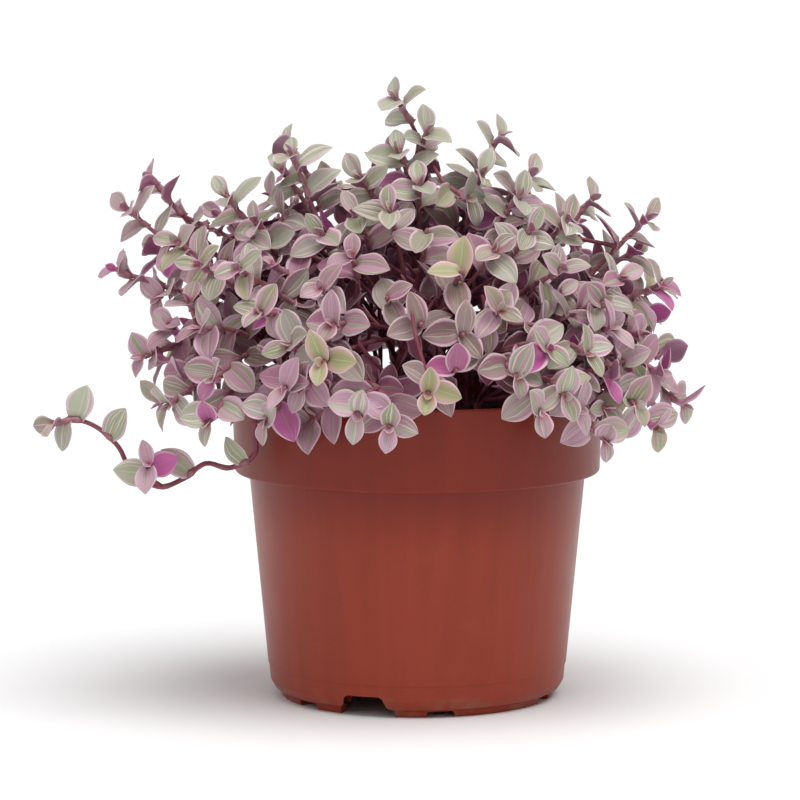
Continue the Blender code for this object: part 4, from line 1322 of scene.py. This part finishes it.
def make_lumps(name, count, sizes, flatness, look, shake):
    """Loose lumps lying on the soil, as one piece."""
    corners, template = unit_shape(bmesh.ops.create_icosphere, subdivisions=2)
    lumps = []
    for index in range(count):
        radius = (RIM_RADIUS - WALL - LUMP_RIM) * math.sqrt(shake.random())
        angle = shake.uniform(0.0, math.tau)
        x, y = radius * math.cos(angle), radius * math.sin(angle)
        size = shake.uniform(*sizes) * shake.uniform(*LUMP_SIZE_SHAKE)
        stretch = np.array([shake.uniform(*span) for span in LUMP_STRETCH]) * (1.0, 1.0, flatness)
        apart = Vector((index, 0.0, 0.0))
        rough = [1.0 + LUMP_ROUGH * noise.noise(corner * LUMP_GRAIN + apart) for corner in corners]
        spin = Matrix.Rotation(shake.uniform(0.0, math.tau), 3, "Z")
        tilt = Matrix.Rotation(shake.uniform(-LUMP_TILT, LUMP_TILT), 3, "X")
        lump = np.array(corners) * np.array(rough)[:, None] * stretch * size
        middle = np.array((x, y, soil_height(x, y) + LUMP_LIFT * size * flatness))
        grain = [(shake.random(), shake.random(), 0.0)] * len(corners)
        lumps.append((lump @ np.array(spin @ tilt).T + middle, template, grain))
    points, faces, grain = joined(lumps)
    made = mesh_object(name, points, faces, look, (("grain", grain),))
    settle(made, "soil", "potting_soil")


# ---- Materials ----


class Look:
    """A material being built: a Principled shader and the nodes that feed it."""

    def __init__(self, name, **fixed):
        self.material = bpy.data.materials.new(name)
        self.material.use_nodes = True
        self.nodes = self.material.node_tree.nodes
        self.links = self.material.node_tree.links
        self.shader = self.nodes["Principled BSDF"]
        for socket, value in fixed.items():
            self.shader.inputs[socket.replace("_", " ")].default_value = value

    def put(self, socket, value):
        """Links a socket to another, or sets its value."""
        if isinstance(value, bpy.types.NodeSocket):
            self.links.new(value, socket)
        elif isinstance(value, tuple) and socket.type == "RGBA":
            socket.default_value = (*value, 1.0)
        else:
            socket.default_value = value

    def add(self, kind, *values, **settings):
        """A new node with its first inputs given in order."""
        made = self.nodes.new("ShaderNode" + kind)
        for key, value in settings.items():
            setattr(made, key, value)
        for socket, value in zip(made.inputs, values):
            self.put(socket, value)
        return made

    def math(self, operation, *values):
        """What a sum or another operation makes of some values."""
        return self.add("Math", *values, operation=operation).outputs[0]

    def times(self, one, two):
        """The product of two values."""
        return self.math("MULTIPLY", one, two)

    def plus(self, one, two):
        """The sum of two values."""
        return self.math("ADD", one, two)

    def less(self, one, two):
        """One value less another."""
        return self.math("SUBTRACT", one, two)

    def line(self, x, slope, start):
        """A value on a straight line over x: its start, where x is 0, and its slope."""
        return self.math("MULTIPLY_ADD", x, slope, start)

    def split(self, vector):
        """The three parts of a vector."""
        return self.add("SeparateXYZ", vector).outputs[:]

    def join(self, *values):
        """A vector of three parts."""
        return self.add("CombineXYZ", *values).outputs[0]

    def attribute(self, name):
        """The three parts of one of the mesh's attributes."""
        return self.split(self.add("Attribute", attribute_name=name).outputs["Vector"])

    def here(self):
        """The point's own coordinates."""
        return self.add("TexCoord").outputs["Object"]

    def noise(self, vector, scale, detail=2.0, roughness=0.5):
        """Smooth noise from 0 to 1."""
        made = self.add("TexNoise")
        settings = {"Vector": vector, "Scale": scale, "Detail": detail, "Roughness": roughness}
        for socket, value in settings.items():
            self.put(made.inputs[socket], value)
        return made.outputs["Fac"]

    def step(self, x, low, high, start=0.0, end=1.0):
        """A smooth step of x from start at low to end at high."""
        made = self.add("MapRange", x, low, high, start, end, interpolation_type="SMOOTHSTEP")
        return made.outputs[0]

    def coats(self, colour, *coats):
        """A colour with coats over it, each as thick as its share says."""
        for share, coat in coats:
            mix = self.add("Mix", data_type="RGBA")
            for index, value in ((0, share), (6, colour), (7, coat)):
                self.put(mix.inputs[index], value)
            colour = mix.outputs[2]
        return colour

    def bump(self, height, strength, distance):
        """Small relief, which only the light shows."""
        made = self.add("Bump")
        for socket, value in {"Strength": strength, "Distance": distance, "Height": height}.items():
            self.put(made.inputs[socket], value)
        self.put(self.shader.inputs["Normal"], made.outputs[0])

    def finish(self, colour, roughness):
        """The material, with its colour and its roughness."""
        self.put(self.shader.inputs["Base Color"], colour)
        self.put(self.shader.inputs["Roughness"], roughness)
        return self.material


def stripes(look, u, v, spot):
    """The noises of a leaf's stripes, which run from its base to its point and wobble a little."""
    wobble = look.noise(look.join(look.times(u, WOBBLE_ALONG), spot, 0.0), 1.0)
    bent = look.line(look.less(wobble, 0.5), WOBBLE, v)
    noises = []
    for width, drift, place, detail in STRIPES:
        vector = look.join(look.times(bent, width), look.times(u, drift), look.plus(spot, place))
        noises.append(look.noise(vector, 1.0, detail))
    return noises


def leaf_face(look, u, across, broad, fine, veins):
    """The colour of a leaf's face: green with cream lines, rose in sectors, a painted glow and painted
    shade.
    """
    seed, pink, youth = look.attribute("tint")
    gold, shade, veil = look.attribute("cast")
    inner, _, _ = look.attribute("painted_shade_share")
    green = look.coats(
        SAGE,
        # Paler green by the leaf's paleness, which rises towards the top partly as painted light
        (look.step(shade, 0.2, 0.9), SAGE_PALE),
        (look.step(veil, 0.2, 1.0, end=0.62), LILAC_GREY),
        (look.times(gold, 0.85), GOLDEN),
        (look.step(veins, 0.35, 0.75, end=0.22), SAGE_PALE),
        (look.times(look.step(fine, *CREAM_LINES, end=0.85), look.less(1.0, gold)), CREAM),
    )
    rose = look.coats(
        ROSE,
        (look.step(veins, 0.3, 0.7), ROSE_PALE),
        (look.step(veil, 0.4, 1.0, end=0.75), PLUM),
        (look.step(fine, *GREEN_LINES, end=0.7), SAGE),
    )
    level = look.line(across, ROSE_ACROSS, look.line(pink, ROSE_BY_PINK, ROSE_LEVEL))
    rosy = look.step(broad, look.less(level, ROSE_BLUR), look.plus(level, ROSE_BLUR))
    # Painted glow: a magenta face on a few older leaves, standing in for light shining through them
    painted_glow = look.times(look.step(seed, *GLOW_SEEDS), look.less(1.0, youth))
    painted_glow = look.times(painted_glow, look.step(gold, 0.9, 0.6))
    return look.coats(
        green,
        (rosy, rose),
        (look.times(gold, look.step(across, 0.3, 0.8)), GOLDEN_EDGE),
        (look.step(across, 0.07, 0.02, end=0.3), CREAM),
        (look.times(youth, look.step(u, 0.42, 0.05)), CRIMSON),
        (look.times(painted_glow, 0.72), MAGENTA),
        # Painted shade: deep in the crown and in the front hollow
        (look.times(inner, 0.88), PAINTED_SHADE_PLUM),
    )


def leaf_look():
    """Striped leaves: sage green with cream lines, rose sectors, a pale margin and mauve undersides."""
    look = Look("striped_leaf", IOR=1.42)
    u, v, under = look.attribute("lamina")
    seed, _, _ = look.attribute("tint")
    _, shade, veil = look.attribute("cast")
    broad, fine, veins, ridges = stripes(look, u, v, look.times(seed, SEED_SPREAD))
    across = look.math("ABSOLUTE", v)
    # The undersides: their own mauve and magenta, partly painted light, brighter as if lit through the
    # leaf
    below = look.coats(
        MAUVE,
        (look.step(veil, 0.4, 0.75), MAGENTA),
        (look.step(shade, 0.55, 0.7, end=0.8), LILAC),
        (look.step(veins, 0.3, 0.7, end=0.35), ROSE),
    )
    edge = look.plus(across, look.line(broad, *MARGIN_WANDER))
    pale = look.line(look.math("FRACT", look.times(seed, SEED_SHUFFLE)), *MARGIN_SHARE)
    colour = look.coats(
        leaf_face(look, u, across, broad, fine, veins),
        (look.step(under, 0.35, 0.65, end=0.9), below),
        (look.times(look.step(edge, 0.76, 0.9), pale), MARGIN),
        (look.step(u, 0.14, 0.01, end=0.75), COLLAR_TINT),
    )
    look.bump(ridges, *LEAF_RELIEF)
    return look.finish(colour, look.step(veins, 0.2, 0.8, *LEAF_ROUGHNESS))


def stem_look():
    """Purple-brown stems, paler at the sheaths and towards the tips."""
    look = Look("purple_stem", IOR=1.42)
    share, node, shake = look.attribute("stalk")
    mottle = look.noise(look.here(), STEM_MOTTLE, 3.0)
    colour = look.coats(
        STEM_DARK,
        (look.step(mottle, 0.35, 0.65), STEM_PALE),
        (look.step(share, 0.3, 1.0, end=0.45), STEM_TIP),
        (look.times(node, look.plus(shake, 0.4)), STEM_SHEATH),
    )
    look.bump(look.noise(look.here(), STEM_STREAKS, 1.0), *STEM_RELIEF)
    return look.finish(colour, look.step(mottle, 0.3, 0.7, *STEM_ROUGHNESS))


def stretched_noise(look, bearing, z, scales, layer, detail):
    """Noise with one scale round the pot and another up it, from one layer of the noise."""
    place = look.join(look.times(bearing, scales[0]), look.times(z, scales[1]), layer)
    return look.noise(place, 1.0, detail)


def pot_look():
    """Moulded terracotta-brown plastic, faintly flecked and rubbed, with painted shade over the collar."""
    look = Look("moulded_plastic", IOR=1.35)
    here = look.here()
    x, y, z = look.split(here)
    bearing = look.math("ARCTAN2", y, x)
    flow = stretched_noise(look, bearing, z, POT_FLOW, 0.0, 3.0)
    scuff = stretched_noise(look, bearing, z, POT_SCUFFS, 3.0, 2.0)
    cloud = look.noise(here, POT_CLOUDS, 4.0, 0.6)
    fleck = look.noise(here, POT_FLECKS, 1.0)
    rubbed = look.times(look.step(scuff, 0.66, 0.74), look.step(cloud, 0.5, 0.65))
    specks = look.noise(here, POT_SPECKS, 4.0, 0.65)
    dust = look.times(look.step(z, *DUSTY), look.step(specks, 0.45, 0.7))
    colour = look.coats(
        PLASTIC_DARK,
        (look.step(flow, 0.3, 0.7), PLASTIC),
        (look.step(cloud, 0.55, 0.8, end=0.25), PLASTIC_PALE),
        (look.step(fleck, 0.7, 0.78, end=0.5), PLASTIC_PALE),
        (look.times(rubbed, 0.35), PLASTIC_PALE),
        (look.times(dust, 0.5), DUST),
        # Painted shade: darker from the middle of the wall up over the collar, where the foliage shades it
        (look.step(z, *PAINTED_SHADE_HEIGHTS, end=0.5), PLASTIC_PAINTED_SHADE),
    )
    look.bump(look.plus(look.noise(here, POT_GRAIN, 2.0), look.times(flow, 2.0)), *POT_RELIEF)
    rough = look.step(cloud, 0.3, 0.7, *POT_ROUGHNESS)
    return look.finish(colour, look.plus(rough, look.times(dust, DUST_ROUGHNESS)))


def soil_look():
    """Dark peat with paler fibres."""
    look = Look("potting_soil", IOR=1.35)
    here = look.here()
    coarse = look.noise(here, PEAT_GRAIN, 5.0, 0.65)
    drawn_out = look.add("VectorMath", here, FIBRES, operation="MULTIPLY").outputs[0]
    fibre = look.noise(drawn_out, 1.0, 3.0)
    colour = look.coats(
        PEAT_DARK,
        (look.step(coarse, 0.35, 0.7), PEAT_PALE),
        (look.step(fibre, 0.62, 0.7, end=0.6), FIBRE),
    )
    look.bump(look.plus(coarse, fibre), *PEAT_RELIEF)
    return look.finish(colour, PEAT_ROUGHNESS)


def lump_look(name, dark, pale, roughness):
    """Loose lumps, each of its own shade."""
    look = Look(name, IOR=1.4)
    shade, tone, _ = look.attribute("grain")
    rough = look.noise(look.here(), CRUMB_GRAIN, 3.0, 0.6)
    colour = look.coats(
        dark,
        (look.times(shade, tone), pale),
        (look.step(rough, 0.6, 0.35, end=0.55), dark),
    )
    look.bump(rough, *CRUMB_RELIEF)
    return look.finish(colour, roughness)


# ---- Stage, light and camera ----


def make_stage():
    """A plain pale floor that reaches past the view."""
    look = Look("pale_floor", IOR=1.3)
    grain = look.noise(look.here(), FLOOR_GRAIN, 2.0)
    colour = look.coats(FLOOR_GREYS[0], (look.step(grain, 0.3, 0.7), FLOOR_GREYS[1]))
    corners = [(x * FLOOR_REACH, y * FLOOR_REACH, 0.0) for x, y in ((-1, -1), (1, -1), (1, 1), (-1, 1))]
    floor = mesh_object("floor", corners, [(0, 1, 2, 3)], look.finish(colour, FLOOR_ROUGHNESS))


def sun(name, towards, strength, spread):
    """A very soft sun, as wide as a studio's light boxes."""
    lamp = bpy.data.lights.new(name, "SUN")
    lamp.energy = strength
    lamp.angle = math.radians(spread)
    made = add_object(name, lamp)
    made.rotation_euler = Vector(towards).to_track_quat("Z", "Y").to_euler()


def make_light():
    """Soft light from above, and surroundings that light the object less than they show behind it."""
    world = bpy.data.worlds.new("studio")
    world.use_nodes = True
    nodes, links = world.node_tree.nodes, world.node_tree.links
    lit, seen = nodes["Background"], nodes.new("ShaderNodeBackground")
    for back, strength in ((lit, WORLD_LIGHT), (seen, WORLD_SEEN)):
        back.inputs["Color"].default_value = (1.0, 1.0, 1.0, 1.0)
        back.inputs["Strength"].default_value = strength
    rays, mix = nodes.new("ShaderNodeLightPath"), nodes.new("ShaderNodeMixShader")
    links.new(rays.outputs["Is Camera Ray"], mix.inputs[0])
    links.new(lit.outputs[0], mix.inputs[1])
    links.new(seen.outputs[0], mix.inputs[2])
    links.new(mix.outputs[0], nodes["World Output"].inputs["Surface"])
    bpy.context.scene.world = world
    for name, towards, strength, spread in SUNS:
        sun(name, towards, strength, spread)
    bpy.context.scene.view_settings.view_transform = "Standard"


def make_camera():
    """The camera, far in front and tilted down a little."""
    lens = bpy.data.cameras.new("camera")
    lens.lens = CAMERA_LENS
    lens.sensor_width = SENSOR
    made = add_object("camera", lens)
    made.location = CAMERA_PLACE
    made.rotation_euler = (0.5 * math.pi - CAMERA_PITCH, 0.0, 0.0)
    bpy.context.scene.camera = made


def make_plant(shake):
    """Every shoot's stems and leaves: those of the CAD nodes, and the looks' own."""
    shoots = plan_shoots()
    placed = []
    grown = leaf_out(shoots, SHOOT_LEAVES, RUNNER_LEAVES, placed)
    add_sprigs(shoots, placed)
    more = leaf_out(shoots, MORE_SHOOT_LEAVES, MORE_RUNNER_LEAVES, placed)
    blades, stalks = leaf_look(), stem_look()
    tips = np.array([arm[-1] - HEART for shoot in shoots for arm in shoot.arms if arm])
    bundles = {}
    for shoot in shoots:
        added = [leaf for leaf in more[shoot.name] if not left_bare(leaf.frame.translation)]
        stems, leaves = make_stems(shoot, grown[shoot.name] + added, shake)
        bundles.setdefault(bundle_of(shoot), {})[shoot.name] = stems
        make_leaves(shoot, leaves, tips, blades, shake)
    for name, meshes in bundles.items():
        tie_bundle(name, meshes, stalks)


def main():
    """The whole scene."""
    make_camera()
    make_light()
    make_stage()
    make_pot(pot_look())
    make_soil(soil_look())
    shake = random.Random(LOOKS_SEED)
    for name, count, sizes, flatness, looks in LUMPS:
        make_lumps(name, count, sizes, flatness, lump_look(*looks), shake)
    make_plant(shake)


main()
